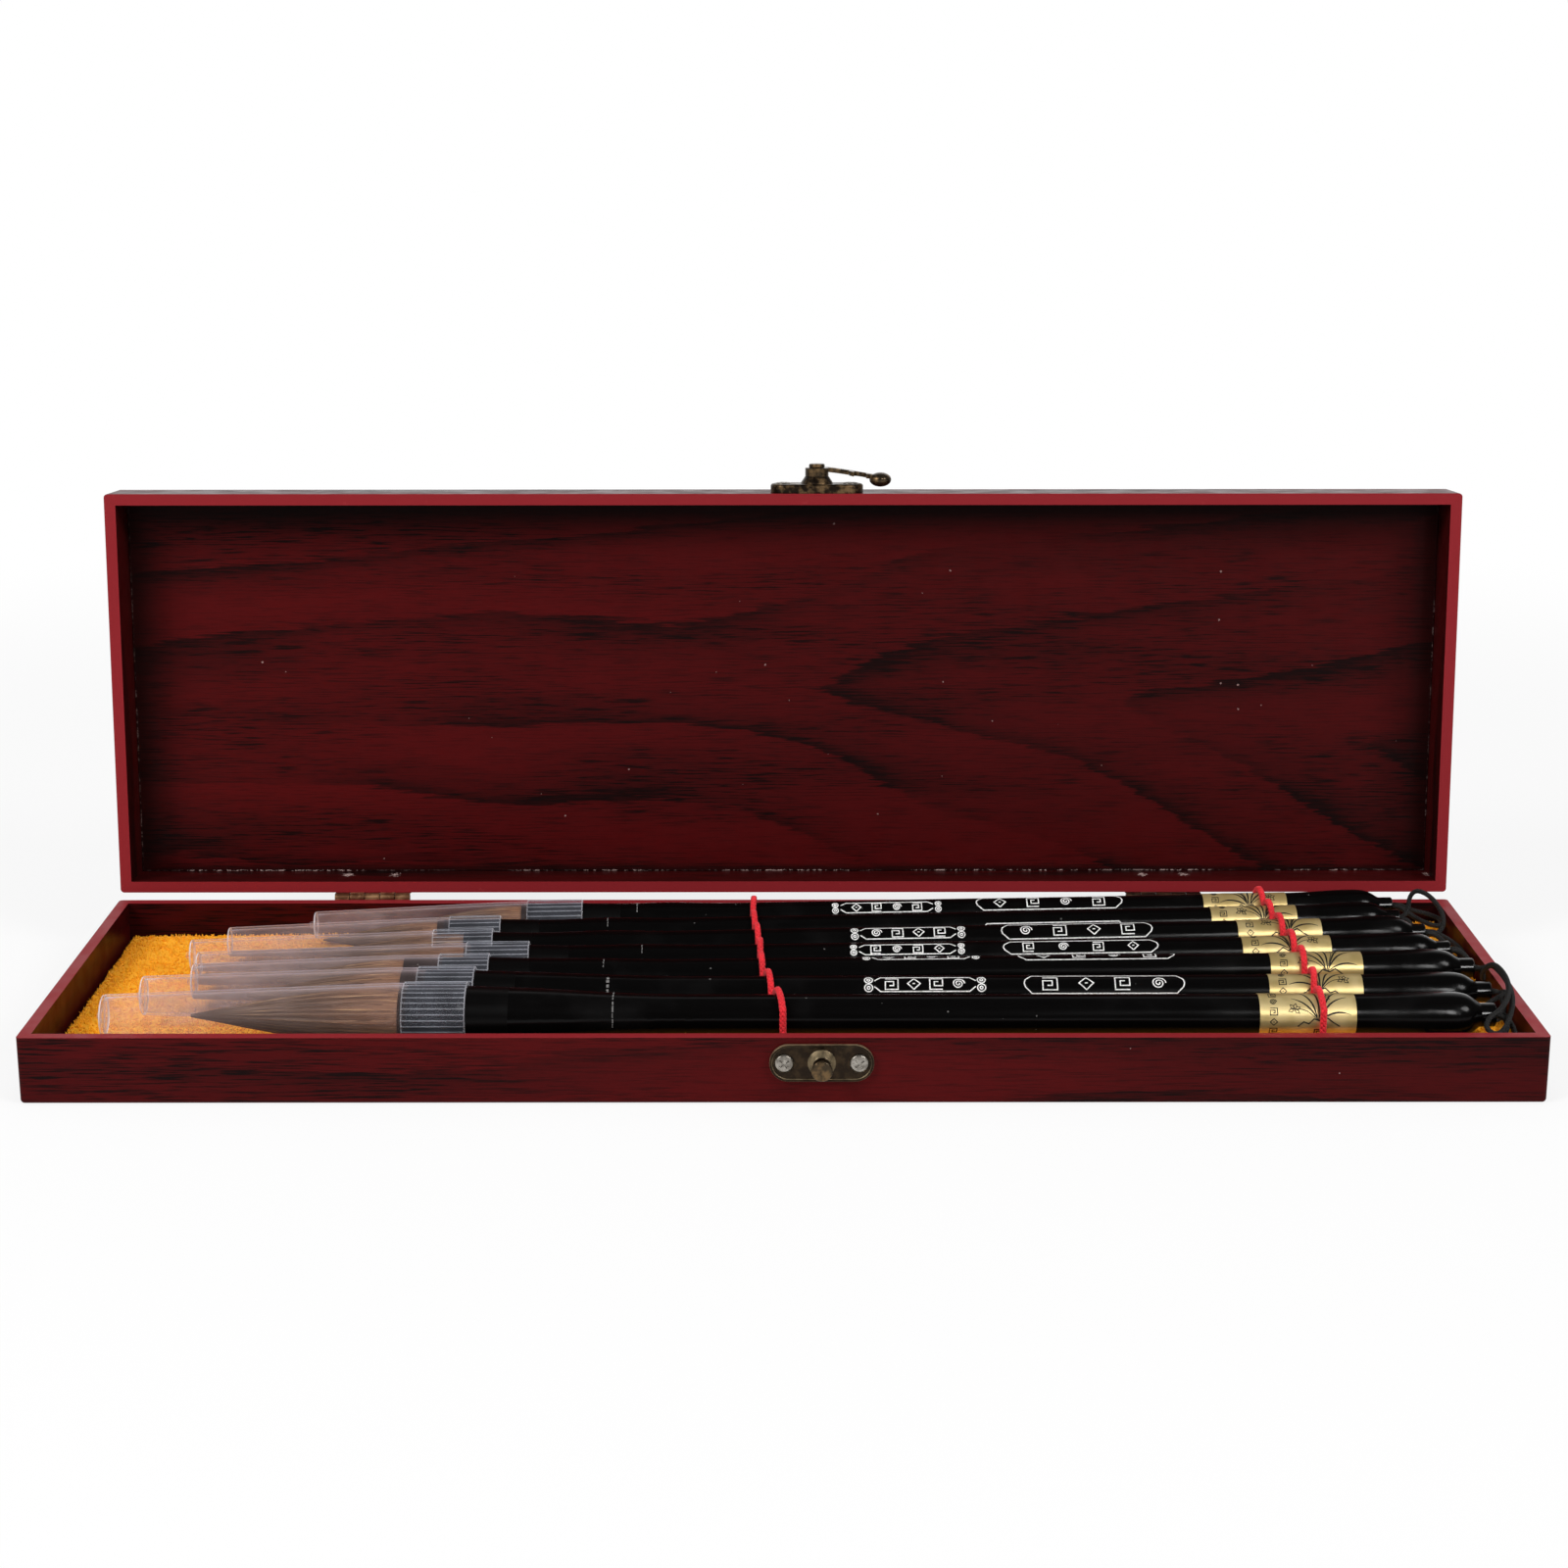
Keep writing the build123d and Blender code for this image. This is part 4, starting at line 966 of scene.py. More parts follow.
def makeNap():
    # short bent tufts, denser where no brush hides the pad
    chance = random.Random(23)
    points, faces = [], []
    low, high = padLow + padStyle["tuftInset"], padHigh - padStyle["tuftInset"]
    area = (padHigh[0] - padLow[0]) * (padHigh[1] - padLow[1])
    coveredFrom, coveredTo = padStyle["covered"]
    for _ in range(int(area * padStyle["tuftsPerSquare"])):
        x, y = chance.uniform(low[0], high[0]), chance.uniform(low[1], high[1])
        if coveredFrom <= x <= coveredTo and chance.random() > padStyle["coveredShare"]:
            continue
        foot = np.array((x, y, padTop(x) - padEdge(x, y)[1] + lumps(x, y) - 0.1))
        length = padStyle["tuftLength"] * chance.uniform(0.6, 1.15)
        bend = chance.uniform(0.1, 0.7), chance.uniform(0, 2 * math.pi), chance.uniform(-1.2, 1.2)
        tip = onTuft(foot, length, *bend, 1.0)
        room = min(underBrushes(x, y), underBrushes(tip[0], tip[1])) - foot[2]
        length = min(length, room * 0.8)
        if length < padStyle["shortestTuft"]:
            continue
        radius = padStyle["tuftRadius"] * chance.uniform(0.7, 1.2)
        start = len(points)
        spin = chance.uniform(0, 2)
        for rise, thick in padStyle["tuftRings"]:
            middle = onTuft(foot, length, *bend, rise)
            for angle in (spin, spin + 2 * math.pi / 3, spin + 4 * math.pi / 3):
                points.append(middle + np.array((math.cos(angle), math.sin(angle), 0)) * radius * thick)
        points.append(onTuft(foot, length, *bend, 1.0))
        faces += gridFaces(3, 3, start)
        faces += [(start + 6 + corner, start + 6 + (corner + 1) % 3, start + 9) for corner in range(3)]
        faces.append((start + 2, start + 1, start))
    nap = newPiece("fleeceNap", points, faces, "base")
    nap.data.materials.append(orangeFleece)
    print(f"nap has {len(points) // 10} tufts")


makePad()
makeNap()
print("fleece laid")

# Handles, ferrules and tail plugs

lacquerStyle = {
    "black": (0.0016, 0.0014, 0.0014, 1), "scuff": (0.007, 0.0065, 0.0065, 1), "haze": (75.0, 3.0),
    "dust": (0.13, 0.125, 0.12, 1), "dustSpecks": {"Cell": 0.0026, "Size": 0.0002},
    "streaks": (30.0, 700.0, 3.0),
    # each finish: its roughness, share of dusty cells, streakiness and specular
    "handleLacquer": (0.15, 0.12, 0.06, 0.13), "ferruleHorn": (0.28, 0.05, 0.10, 0.13),
    "plugPlastic": (0.14, 0.04, 0.03, 0.22),
}


def blackMaterial(name):
    roughness, dustShare, streakiness, specular = lacquerStyle[name]
    material, tree, shader = newMaterial(name, Specular_IOR_Level=specular)
    vector = objectVector(tree)
    streaks = streaksOf(tree, vector, *lacquerStyle["streaks"])
    inputs = {"Vector": vector, "Share": dustShare, **lacquerStyle["dustSpecks"]}
    specks = useGroup(tree, dustSpecks, inputs)[0]
    hazy = stepOf(tree, noiseOf(tree, vector, *lacquerStyle["haze"]), 0.50, 0.75, 0.0, 0.30)
    colour = mixColour(tree, hazy, lacquerStyle["black"], lacquerStyle["scuff"])
    colour = mixColour(tree, specks, colour, lacquerStyle["dust"])
    uneven = plus(tree, stepOf(tree, streaks, 0.3, 0.7, 0.0, streakiness), times(tree, hazy, 0.2))
    feed(tree, shader, Base_Color=colour, Roughness=plus(tree, uneven, roughness),
         Normal=bumpOf(tree, streaks, 0.10, 0.0001))
    return material


handleLacquer = blackMaterial("handleLacquer")
for brush in brushes:
    dress(f"brush_{brush['number']}_handle", handleLacquer)
dress("brush_ferrules", blackMaterial("ferruleHorn"))
dress("brush_tail_plugs", blackMaterial("plugPlastic"))

# Labels: foil sleeves

labelStyle = {
    "gold": (0.60, 0.445, 0.175, 1), "pale": (0.90, 0.74, 0.39, 1), "metallic": 0.62,
    "fine": (2600.0, 3.0, 0.7), "patches": (160.0, 2.0),
}


def labelMaterial():
    metallic = labelStyle["metallic"]
    material, tree, shader = newMaterial("labelFoil", Metallic=metallic, Specular_IOR_Level=0.5)
    fine, patches = (noiseOf(tree, objectVector(tree), *labelStyle[name]) for name in ("fine", "patches"))
    pale = stepOf(tree, patches, 0.35, 0.7, 0.0, 0.5)
    rough = stepOf(tree, patches, 0.3, 0.7, 0.28, 0.40)
    feed(tree, shader, Base_Color=mixColour(tree, pale, labelStyle["gold"], labelStyle["pale"]),
         Roughness=plus(tree, rough, stepOf(tree, fine, 0.4, 0.7, 0.0, 0.08)),
         Normal=bumpOf(tree, fine, 0.15, 0.00005))
    return material


dress("brush_labels", labelMaterial())
print("handles and labels dressed")

# Printed marks: thin raised ribbons round the barrels and labels

markStyle = {
    "white": (0.93, 0.92, 0.90, 1), "black": (0.006, 0.0055, 0.005, 1), "grey": (0.20, 0.195, 0.19, 1),
    "bare": (0.012, 0.011, 0.011, 1), "sunk": -0.02, "lift": 0.03, "longestStep": 0.45, "lineWidth": 0.29,
    "inkNoise": (1900.0, 2.0, 0.6),
    # for each brush: where a frame starts and ends along the box, and its edges in degrees up from the front
    "scrolledFrames": {2: (18.6, 50.5, 22, 83), 3: (18.6, 50.3, 73, 128), 4: (15.6, 47.4, 28, 79),
                       5: (16.2, 48.2, 28, 88), 6: (14.0, 46.0, -78, -22), 7: (11.6, 43.4, 23, 76)},
    "plainFrames": {2: (58.7, 97.8, 18, 88), 3: (58.8, 98.0, 66, 128), 4: (55.9, 95.4, 26, 82),
                    5: (56.4, 95.6, 22, 92), 6: (51.5, 90.0, -36, 28), 7: (51.4, 90.4, 28, 97)},
    # worn rings: place along the box, from and to in degrees, width
    "rings": {1: (-40.5, -12, 112, 0.34), 2: (-42.8, 24, 76, 0.85), 3: (-44.8, 50, 88, 0.22),
              4: (-35.9, 48, 90, 0.24), 6: (-46.0, 46, 92, 0.24), 7: (-38.9, 44, 104, 0.34)},
}


class Ribbons:
    # gathers flat ribbons that lie on the brushes; a line is (along the box, millimetres round) points
    def __init__(self):
        self.points, self.faces = [], []

    def add(self, brush, line, width, radius, turned):
        line = np.asarray(line, float)
        widths = np.broadcast_to(np.asarray(width, float), len(line))
        at = np.concatenate(([0], np.cumsum(np.linalg.norm(np.diff(line, axis=0), axis=1))))
        places = np.unique(np.concatenate((at, np.arange(0, at[-1], markStyle["longestStep"]))))
        dense = np.column_stack([np.interp(places, at, line[:, axis]) for axis in (0, 1)])
        wide = np.interp(places, at, widths)
        heading = np.diff(dense, axis=0)
        heading /= np.maximum(np.linalg.norm(heading, axis=1), 1e-9)[:, None]
        before, after = np.vstack((heading[:1], heading)), np.vstack((heading, heading[-1:]))
        square = before + after
        square /= np.maximum(np.linalg.norm(square, axis=1), 1e-9)[:, None]
        mitre = wide / 2 / np.clip((square * before).sum(1), 0.5, 1)
        aside = np.column_stack((-square[:, 1], square[:, 0])) * mitre[:, None]
        start, sunk, lift = len(self.points), markStyle["sunk"], markStyle["lift"]
        for (x, arc), (dx, darc) in zip(dense, aside):
            for sign, depth in ((1, sunk), (-1, sunk), (-1, lift), (1, lift)):
                angle = math.radians(turned) + (arc + sign * darc) / radius
                self.points.append(onBrush(brush, stationAt(brush, x + sign * dx), radius + depth, angle))
        last = len(self.points) - 4
        self.faces += gridFaces(len(dense), 4, start)
        self.faces += [(start, start + 1, start + 2, start + 3), (last + 3, last + 2, last + 1, last)]

    def make(self, name, material):
        piece = newPiece(name, self.points, self.faces, "base", smooth=False)
        shape = bmesh.new()
        shape.from_mesh(piece.data)
        bmesh.ops.recalc_face_normals(shape, faces=shape.faces)
        shape.to_mesh(piece.data)
        shape.free()
        piece.data.materials.append(material)


def inkMaterial(name, colour, roughness):
    # printed ink, faded where it is thin
    material, tree, shader = newMaterial(name, Specular_IOR_Level=0.25)
    thin = stepOf(tree, noiseOf(tree, objectVector(tree), *markStyle["inkNoise"]), 0.34, 0.60)
    faded = mixColour(tree, 0.4, colour, markStyle["bare"])
    feed(tree, shader, Base_Color=mixColour(tree, thin, faded, colour),
         Roughness=stepOf(tree, thin, 0, 1, roughness + 0.15, roughness))
    return material


def barrelRadius(brush, x):
    return float(np.interp(stationAt(brush, x), *brush["handleLine"]))


def arcLine(middle, size, start, end, steps=14, fade=1.0):
    # part of a circle or, where it fades, of a spiral
    line = []
    for step in range(steps + 1):
        share = step / steps
        angle = math.radians(start + (end - start) * share)
        reach = size * (1 - (1 - fade) * share)
        line.append((middle[0] + math.cos(angle) * reach, middle[1] + math.sin(angle) * reach))
    return line


def frets(kind, x, low, size):
    # small border motifs in a square cell: square spirals, a round spiral and a diamond
    def inCell(line):
        return [(x + u * size, low + v * size) for u, v in line]

    if kind == 0:
        return [inCell([(1, 0), (0, 0), (0, 1), (1, 1), (1, 0.3), (0.35, 0.3), (0.35, 0.68), (0.68, 0.68)])]
    if kind == 1:
        return [arcLine((x + size / 2, low + size / 2), size / 2, 0, 760, 30, 0.12)]
    if kind == 2:
        return [inCell([(0, 1), (1, 1), (1, 0), (0, 0), (0, 0.7), (0.65, 0.7), (0.65, 0.32), (0.32, 0.32)])]
    return [inCell([(0.5, 0), (1, 0.5), (0.5, 1), (0, 0.5), (0.5, 0)]), inCell([(0.4, 0.5), (0.6, 0.5)])]


def scrolledFrame(start, end, height):
    # two long sides nipped in beside the scrolls at both ends, and the stretch for its motifs
    inset, nip, middle = 3.6, 1.5, height / 2
    inner, outer = start + inset, end - inset
    lines = []
    for edge in (0.0, height):
        side = edge + 0.28 * (middle - edge) / middle
        waist = middle - (middle - edge) * 0.35
        lines.append([(inner, waist), (inner + nip, side), (outer - nip, side), (outer, waist)])
    for x, way in ((inner - 1.4, 1), (outer + 1.4, -1)):
        for y in (middle * 0.52, middle * 1.48):
            lines.append(arcLine((x, y), middle * 0.42, 90 - 90 * way, 450 - 90 * way))
            lines.append(arcLine((x, y), middle * 0.16, 0, 360, 8))
    return lines, inner + nip, outer - nip


def plainFrame(start, end, height):
    # a closed line with slanted corners, and the stretch for its motifs
    cut, slant, corner, middle = 1.9, 0.3, height * 0.30, height / 2
    first, last = start + cut, end - cut
    line = [(first, 0), (last, 0), (end - slant, corner), (end, middle), (end - slant, height - corner),
            (last, height), (first, height), (start + slant, height - corner), (start, middle),
            (start + slant, corner), (first, 0)]
    return [line], first, last


def drawFrames():
    ink = Ribbons()
    motifs, motifShare = 4, 0.66
    for brush in brushes:
        number = brush["number"]
        for kind, draw in (("scrolledFrames", scrolledFrame), ("plainFrames", plainFrame)):
            if number not in markStyle[kind]:
                continue
            start, end, low, high = markStyle[kind][number]
            radius = barrelRadius(brush, (start + end) / 2)
            height = math.radians(high - low) * radius
            lines, first, last = draw(start, end, height)
            size = height * motifShare
            for place in range(motifs):
                x = first + (last - first) * (place + 0.5) / motifs - size / 2
                lines += frets((place + number) % 4, x, (height - size) / 2, size)
            for line in lines:
                ink.add(brush, line, markStyle["lineWidth"], radius, low)
    ink.make("barrelPrint", inkMaterial("whiteInk", markStyle["white"], 0.42))


def drawRings():
    worn = Ribbons()
    chance = random.Random(4)
    for brush in brushes:
        if brush["number"] not in markStyle["rings"]:
            continue
        x, low, high, width = markStyle["rings"][brush["number"]]
        radius = barrelRadius(brush, x) + 0.01
        angle = low
        while angle < high:
            span = chance.uniform(7, 16)
            line = [(x + chance.uniform(-0.05, 0.05), math.radians(edge) * radius)
                    for edge in (angle, min(angle + span, high))]
            worn.add(brush, line, width * chance.uniform(0.6, 1.1), radius, 0)
            angle += span + chance.uniform(2, 7)
    worn.make("wornRings", inkMaterial("wornGlue", markStyle["grey"], 0.6))


# The label's drawing: an orchid tuft on a rock, in millimetres from the middle of its foot
artStyle = {
    "blades": (
        ((0.2, 0.0), (-1.2, 2.6), (-3.2, 4.8), (-6.0, 5.6)),
        ((0.0, 0.0), (-0.4, 3.2), (-2.0, 6.6), (-4.6, 9.4)),
        ((0.3, 0.0), (0.6, 3.4), (0.2, 7.0), (-1.0, 10.6)),
        ((0.5, 0.0), (1.8, 3.0), (4.0, 5.4), (7.2, 6.0)),
        ((0.6, 0.0), (1.4, 3.6), (3.2, 7.0), (6.0, 9.6)),
        ((0.7, 0.0), (3.0, 1.8), (5.6, 2.4), (8.0, 1.2)),
    ),
    # shares along a blade and how wide it is at each
    "bladeWidths": ((0, 0.35, 0.7, 1), (0.16, 0.44, 0.36, 0.06)),
    "stalks": (
        ((0.2, 0.0), (1.2, 3.0), (1.9, 5.0), (2.0, 6.4)),
        ((0.0, 0.0), (-1.8, 2.2), (-3.6, 3.0), (-5.4, 2.6)),
    ),
    "stalkWidth": 0.16, "petals": (20, 75, 130, 200, 320), "petalReach": 1.5, "petalWidth": 0.17,
    "petalLoop": ((0.1, 0), (0.5, 1), (1, 0), (0.5, -1), (0.1, 0)), "petalAcross": 0.30,
    "rock": ((-4.6, -1.6), (-3.2, -0.4), (-2.0, -0.9), (-0.8, 0.3), (1.0, -0.3), (2.4, 0.5), (3.8, -0.6),
             (5.4, -1.6)),
    "rockWidth": 0.30, "seal": (0.6, -3.6), "sealSizes": (1.1, 0.55), "sealWidth": 0.26,
    # how far round each label is turned, in degrees, and whether its drawing is mirrored
    "turns": (10, 34, 20, 34, 40, 26, 30), "flips": (1, -1, 1, -1, 1, 1, -1),
    # the foot of the drawing along a label that is 23 mm long, plain and mirrored, and the border of frets
    "labelLength": 23.0, "foot": {1: 13.6, -1: 12.8}, "footUp": -0.4,
    "borderPlace": 2.4, "borderStart": -4.2, "borderStep": 2.5, "borderSize": 1.7, "borderWidth": 0.208,
    "borderKinds": (0, 3, 2, 1, 0, 3, 2),
}


def bezier(line, steps=10):
    corners = np.array(line)
    share = np.linspace(0, 1, steps + 1)[:, None]
    weights = ((1 - share) ** 3, 3 * share * (1 - share) ** 2, 3 * share**2 * (1 - share), share**3)
    return sum(weight * corner for weight, corner in zip(weights, corners))


def drawTuft(draw, foot, mirror):
    for blade in artStyle["blades"]:
        line = foot + bezier(blade) * mirror
        draw(line, np.interp(np.linspace(0, 1, len(line)), *artStyle["bladeWidths"]))
    for stalk in artStyle["stalks"]:
        draw(foot + bezier(stalk) * mirror, artStyle["stalkWidth"])
        flower = foot + np.array(stalk[-1]) * mirror
        for way in np.radians(artStyle["petals"]):
            reach = np.array((math.cos(way), math.sin(way))) * artStyle["petalReach"]
            across = np.array((-reach[1], reach[0])) * artStyle["petalAcross"]
            draw([flower + reach * u + across * v for u, v in artStyle["petalLoop"]], artStyle["petalWidth"])
    draw(foot + np.array(artStyle["rock"]) * mirror, artStyle["rockWidth"])


def drawLabels():
    # the tuft, a border of frets and a plain square seal, turned and mirrored differently on each label
    ink = Ribbons()
    for brush, turned, flip in zip(brushes, artStyle["turns"], artStyle["flips"]):
        start, end = brush["labelSpan"]
        left = brush["origin"][0] + brush["along"][0] * start
        unit = (end - start) * brush["along"][0] / artStyle["labelLength"]

        def draw(line, width):
            ink.add(brush, line, width, brush["labelRadius"], turned)

        for place, kind in enumerate(artStyle["borderKinds"]):
            low = place * artStyle["borderStep"] + artStyle["borderStart"]
            for line in frets(kind, left + artStyle["borderPlace"] * unit, low, artStyle["borderSize"]):
                draw(line, artStyle["borderWidth"])
        foot = np.array((left + artStyle["foot"][flip] * unit, artStyle["footUp"]))
        mirror = np.array((flip, 1.0))
        drawTuft(draw, foot, mirror)
        seal = foot + np.array(artStyle["seal"]) * mirror
        for size in artStyle["sealSizes"]:
            draw(arcLine(seal, size * 1.41, 45, 405, 4), artStyle["sealWidth"])
    ink.make("labelPrint", inkMaterial("blackInk", markStyle["black"], 0.5))


drawFrames()
drawRings()
drawLabels()
print("marks printed")

# Latch and hinges: dark bronze and brass; the right hinge is darkened with painted shade and the catch
# plate's edges carry a painted highlight

metalStyle = {
    "bronze": (0.018, 0.011, 0.006, 1), "bronzePale": (0.045, 0.028, 0.014, 1),
    "hook": (0.050, 0.035, 0.020, 1), "hookPale": (0.17, 0.105, 0.048, 1),
    "hinge": (0.18, 0.080, 0.038, 1), "hingePale": (0.34, 0.190, 0.095, 1),
    "shadedBrass": (0.030, 0.021, 0.014, 1), "shadedBrassPale": (0.10, 0.060, 0.032, 1),
    "steel": (0.20, 0.18, 0.155, 1), "steelPale": (0.46, 0.43, 0.38, 1),
    # the worn colour on the next line, with the faces listed after it, paints a highlight on the catch
    # plate's edges
    "metallic": 0.85, "worn": (0.54, 0.42, 0.25, 1), "highlightFaces": {"bronzePlate": (0, -1, 0)},
    "patches": (420.0, 3.0, 0.65), "fine": (2400.0, 2.0, 0.6),
    # each metal: its colour, the colour of its patches, its roughness, and its nodes' softened edges
    "metals": {
        "bronzePlate": ("bronze", "bronzePale", 0.30, {"catch_plate": 0.22}),
        "bronzeBase": ("bronze", "hookPale", 0.30, {"hook_plate": 0.15}),
        "bronzeHook": ("hook", "hookPale", 0.24, {
            "catch_pin": 0.18, "hook_rivet": 0.12, "latch_hook": 0.12}),
        "hingeBrass": ("hinge", "hingePale", 0.34, {
            "left_hinge_base_leaf": 0.08, "left_hinge_lid_leaf": 0.08, "left_hinge_pin": 0.08}),
        # the right hinge's leaves and pin are a darker copy of the hinge brass: painted shade
        "hingeShaded": ("shadedBrass", "shadedBrassPale", 0.34, {
            "right_hinge_base_leaf": 0.08, "right_hinge_lid_leaf": 0.08, "right_hinge_pin": 0.08}),
        "screwSteel": ("steel", "steelPale", 0.26, {"catch_plate_screws": 0.06, "hook_plate_screws": 0.06}),
        "screwBrass": ("hookPale", "hingePale", 0.28, {"hinge_base_screws": 0.05, "hinge_lid_screws": 0.05}),
    },
}
foamStyle = {"pale": (0.80, 0.74, 0.55, 1), "deep": (0.56, 0.49, 0.34, 1), "cells": (1700.0, 3.0, 0.6)}


def metalMaterial(name, dark, pale, roughness):
    material, tree, shader = newMaterial(name, Metallic=metalStyle["metallic"], Specular_IOR_Level=0.5)
    patches, fine = (noiseOf(tree, objectVector(tree), *metalStyle[kind]) for kind in ("patches", "fine"))
    colour = mixColour(tree, stepOf(tree, patches, 0.42, 0.68), dark, pale)
    if name in metalStyle["highlightFaces"]:  # a flat part, painted bright as a highlight where its surface turns away from the flat
        normal = addNode(tree, "ShaderNodeTexCoord").outputs["Normal"]
        inputs = {0: normal, 1: metalStyle["highlightFaces"][name]}
        level = addNode(tree, "ShaderNodeVectorMath", inputs, operation="DOT_PRODUCT").outputs["Value"]
        edge = minus(tree, 1.0, stepOf(tree, level, 0.40, 0.90))
        edge = times(tree, edge, stepOf(tree, patches, 0.25, 0.55, 0.45, 1.0))
        colour = mixColour(tree, edge, colour, metalStyle["worn"])
    uneven = plus(tree, times(tree, patches, 0.7), times(tree, fine, 0.3))
    feed(tree, shader, Base_Color=colour, Normal=bumpOf(tree, fine, 0.2, 0.00004),
         Roughness=stepOf(tree, uneven, 0.35, 0.65, roughness, roughness + 0.18))
    return material


def foamMaterial():
    material, tree, shader = newMaterial("foamCore", Specular_IOR_Level=0.1)
    cells = noiseOf(tree, objectVector(tree), *foamStyle["cells"])
    share = stepOf(tree, cells, 0.36, 0.6)
    feed(tree, shader, Base_Color=mixColour(tree, share, foamStyle["deep"], foamStyle["pale"]),
         Roughness=stepOf(tree, cells, 0.3, 0.7, 0.8, 0.95), Normal=bumpOf(tree, cells, 0.5, 0.0002))
    return material


for name, (dark, pale, roughness, edges) in metalStyle["metals"].items():
    metal = metalMaterial(name, metalStyle[dark], metalStyle[pale], roughness)
    for node, edge in edges.items():
        softenEdges(dress(node, metal), edge)
dress("liner_foam", foamMaterial())
print("latch and hinges dressed")

# Braided cords

braidStyle = {
    "strands": 8, "sides": 6, "fibres": (5200.0, 2.0, 0.7), "wear": (240.0, 2.0),
    # shares of a cord's radius: the step along it, a strand's turn, its place, weave, thickness and width
    "step": 0.42, "pitch": 5.0, "out": 0.58, "weave": 0.09, "thick": 0.33, "wide": 0.44,
}


def braid(name, path, radius, body):
    # strands round a line, half of them each way, that pass over and under each other
    path = np.asarray(path)
    lengths = np.concatenate(([0], np.cumsum(np.linalg.norm(np.diff(path, axis=0), axis=1))))
    count = max(8, int(lengths[-1] / (radius * braidStyle["step"])))
    along = np.linspace(0, lengths[-1], count)
    line = np.column_stack([np.interp(along, lengths, path[:, axis]) for axis in range(3)])
    tangents = np.gradient(line, axis=0)
    tangents /= np.linalg.norm(tangents, axis=1)[:, None]
    normals = np.empty_like(tangents)
    normal = np.cross(tangents[0], (0.31, 0.83, 0.47))  # a direction that no cord starts in
    for index, tangent in enumerate(tangents):
        normal = normal - tangent * (normal @ tangent)
        normal /= np.linalg.norm(normal)
        normals[index] = normal
    binormals = np.cross(tangents, normals)
    turn = 2 * math.pi * along / (braidStyle["pitch"] * radius)
    sides = braidStyle["sides"]
    around = np.arange(sides) * 2 * math.pi / sides
    points, faces = [], []
    for strand in range(braidStyle["strands"]):
        way = 1 if strand % 2 else -1
        angle = way * turn + (strand // 2) * math.pi / 2 + (math.pi / 4 if way > 0 else 0)
        weave = way * np.cos(4 * turn)
        out = normals * np.cos(angle)[:, None] + binormals * np.sin(angle)[:, None]
        aside = np.cross(tangents, out)
        middle = line + out * (radius * (braidStyle["out"] + braidStyle["weave"] * weave))[:, None]
        thick, wide = out * braidStyle["thick"] * radius, aside * braidStyle["wide"] * radius
        ring = [middle + thick * math.cos(a) + wide * math.sin(a) for a in around]
        start = strand * count * sides
        last = start + (count - 1) * sides
        points.append(np.stack(ring, axis=1).reshape(-1, 3))
        faces += gridFaces(count, sides, start)
        faces += [tuple(reversed(range(start, start + sides))), tuple(range(last, last + sides))]
    return newPiece(name, np.concatenate(points), faces, body)


def threadMaterial(name, style):
    material, tree, shader = newMaterial(name, Sheen_Weight=style["sheen"], Specular_IOR_Level=0.25)
    vector = objectVector(tree)
    fibres = noiseOf(tree, vector, *braidStyle["fibres"])
    worn = noiseOf(tree, vector, *braidStyle["wear"])
    shade = plus(tree, stepOf(tree, fibres, 0.3, 0.7, 0.0, 0.6), stepOf(tree, worn, 0.3, 0.7, 0.0, 0.4))
    roughness = style["roughness"]
    feed(tree, shader, Base_Color=mixColour(tree, shade, style["deep"], style["colour"]),
         Normal=bumpOf(tree, fibres, 0.5, 0.00008),
         Roughness=stepOf(tree, fibres, 0.3, 0.7, roughness, roughness + 0.2))
    return material


tieStyle = {
    "radius": 0.93, "dip": 1.6, "step": 0.1, "smoothing": 30, "clearance": 0.1,
    "colour": (0.93, 0.020, 0.036, 1), "deep": (0.55, 0.009, 0.016, 1), "roughness": 0.55, "sheen": 0.15,
    # how far each tie strays along the box from the straight line, at places from front to back
    "strayAt": (-49, -46, -41, -32, -23, -14, -5, 8, 23, 35, 45, 49),
    "leftStray": (1.6, 1.6, 0.9, 0.2, -0.2, -1.1, -1.2, -0.5, -0.7, -0.8, 0.2, 0.3),
    "rightStray": (-0.9, -1.0, -1.4, -0.4, 0.9, 1.2, 1.3, 1.5, 0.9, 0.1, -0.7, -0.9),
}
loopStyle = {
    "radius": 0.7, "leg": 0.8, "out": 1.6, "roughness": 0.5, "sheen": 0.05,
    "colour": (0.013, 0.012, 0.011, 1), "deep": (0.004, 0.004, 0.004, 1),
}
tieThread = threadMaterial("tieThread", tieStyle)
loopThread = threadMaterial("loopThread", loopStyle)


def overBrushes(xs, across, lowest, cover):
    # how high a tie lies over each place, with a cup rolled along it where it dips between the barrels
    radius, dip, step = tieStyle["radius"], tieStyle["dip"], tieStyle["step"]
    heights = np.full(len(across), lowest)
    for brush in brushes:
        station, axisY, axisZ = axisAt(brush, xs)
        reach = np.interp(station, *brush["handleLine"]) + cover + tieStyle["clearance"] + radius
        inside = reach**2 - (across - axisY) ** 2
        heights = np.maximum(heights, np.where(inside > 0, axisZ + np.sqrt(np.maximum(inside, 0)), -99))
    offsets = np.arange(-int(dip / step), int(dip / step) + 1)
    cup = np.sqrt(np.maximum(dip**2 - (offsets * step) ** 2, 0))

    def rolled(pick, values, shape, **ends):
        padded = np.pad(values, len(offsets), **ends)
        places = range(len(offsets), len(padded) - len(offsets))
        return np.array([pick(padded[at + offsets] + shape) for at in places])

    return rolled(np.min, rolled(np.max, heights, cup, mode="edge"), -cup, constant_values=99)


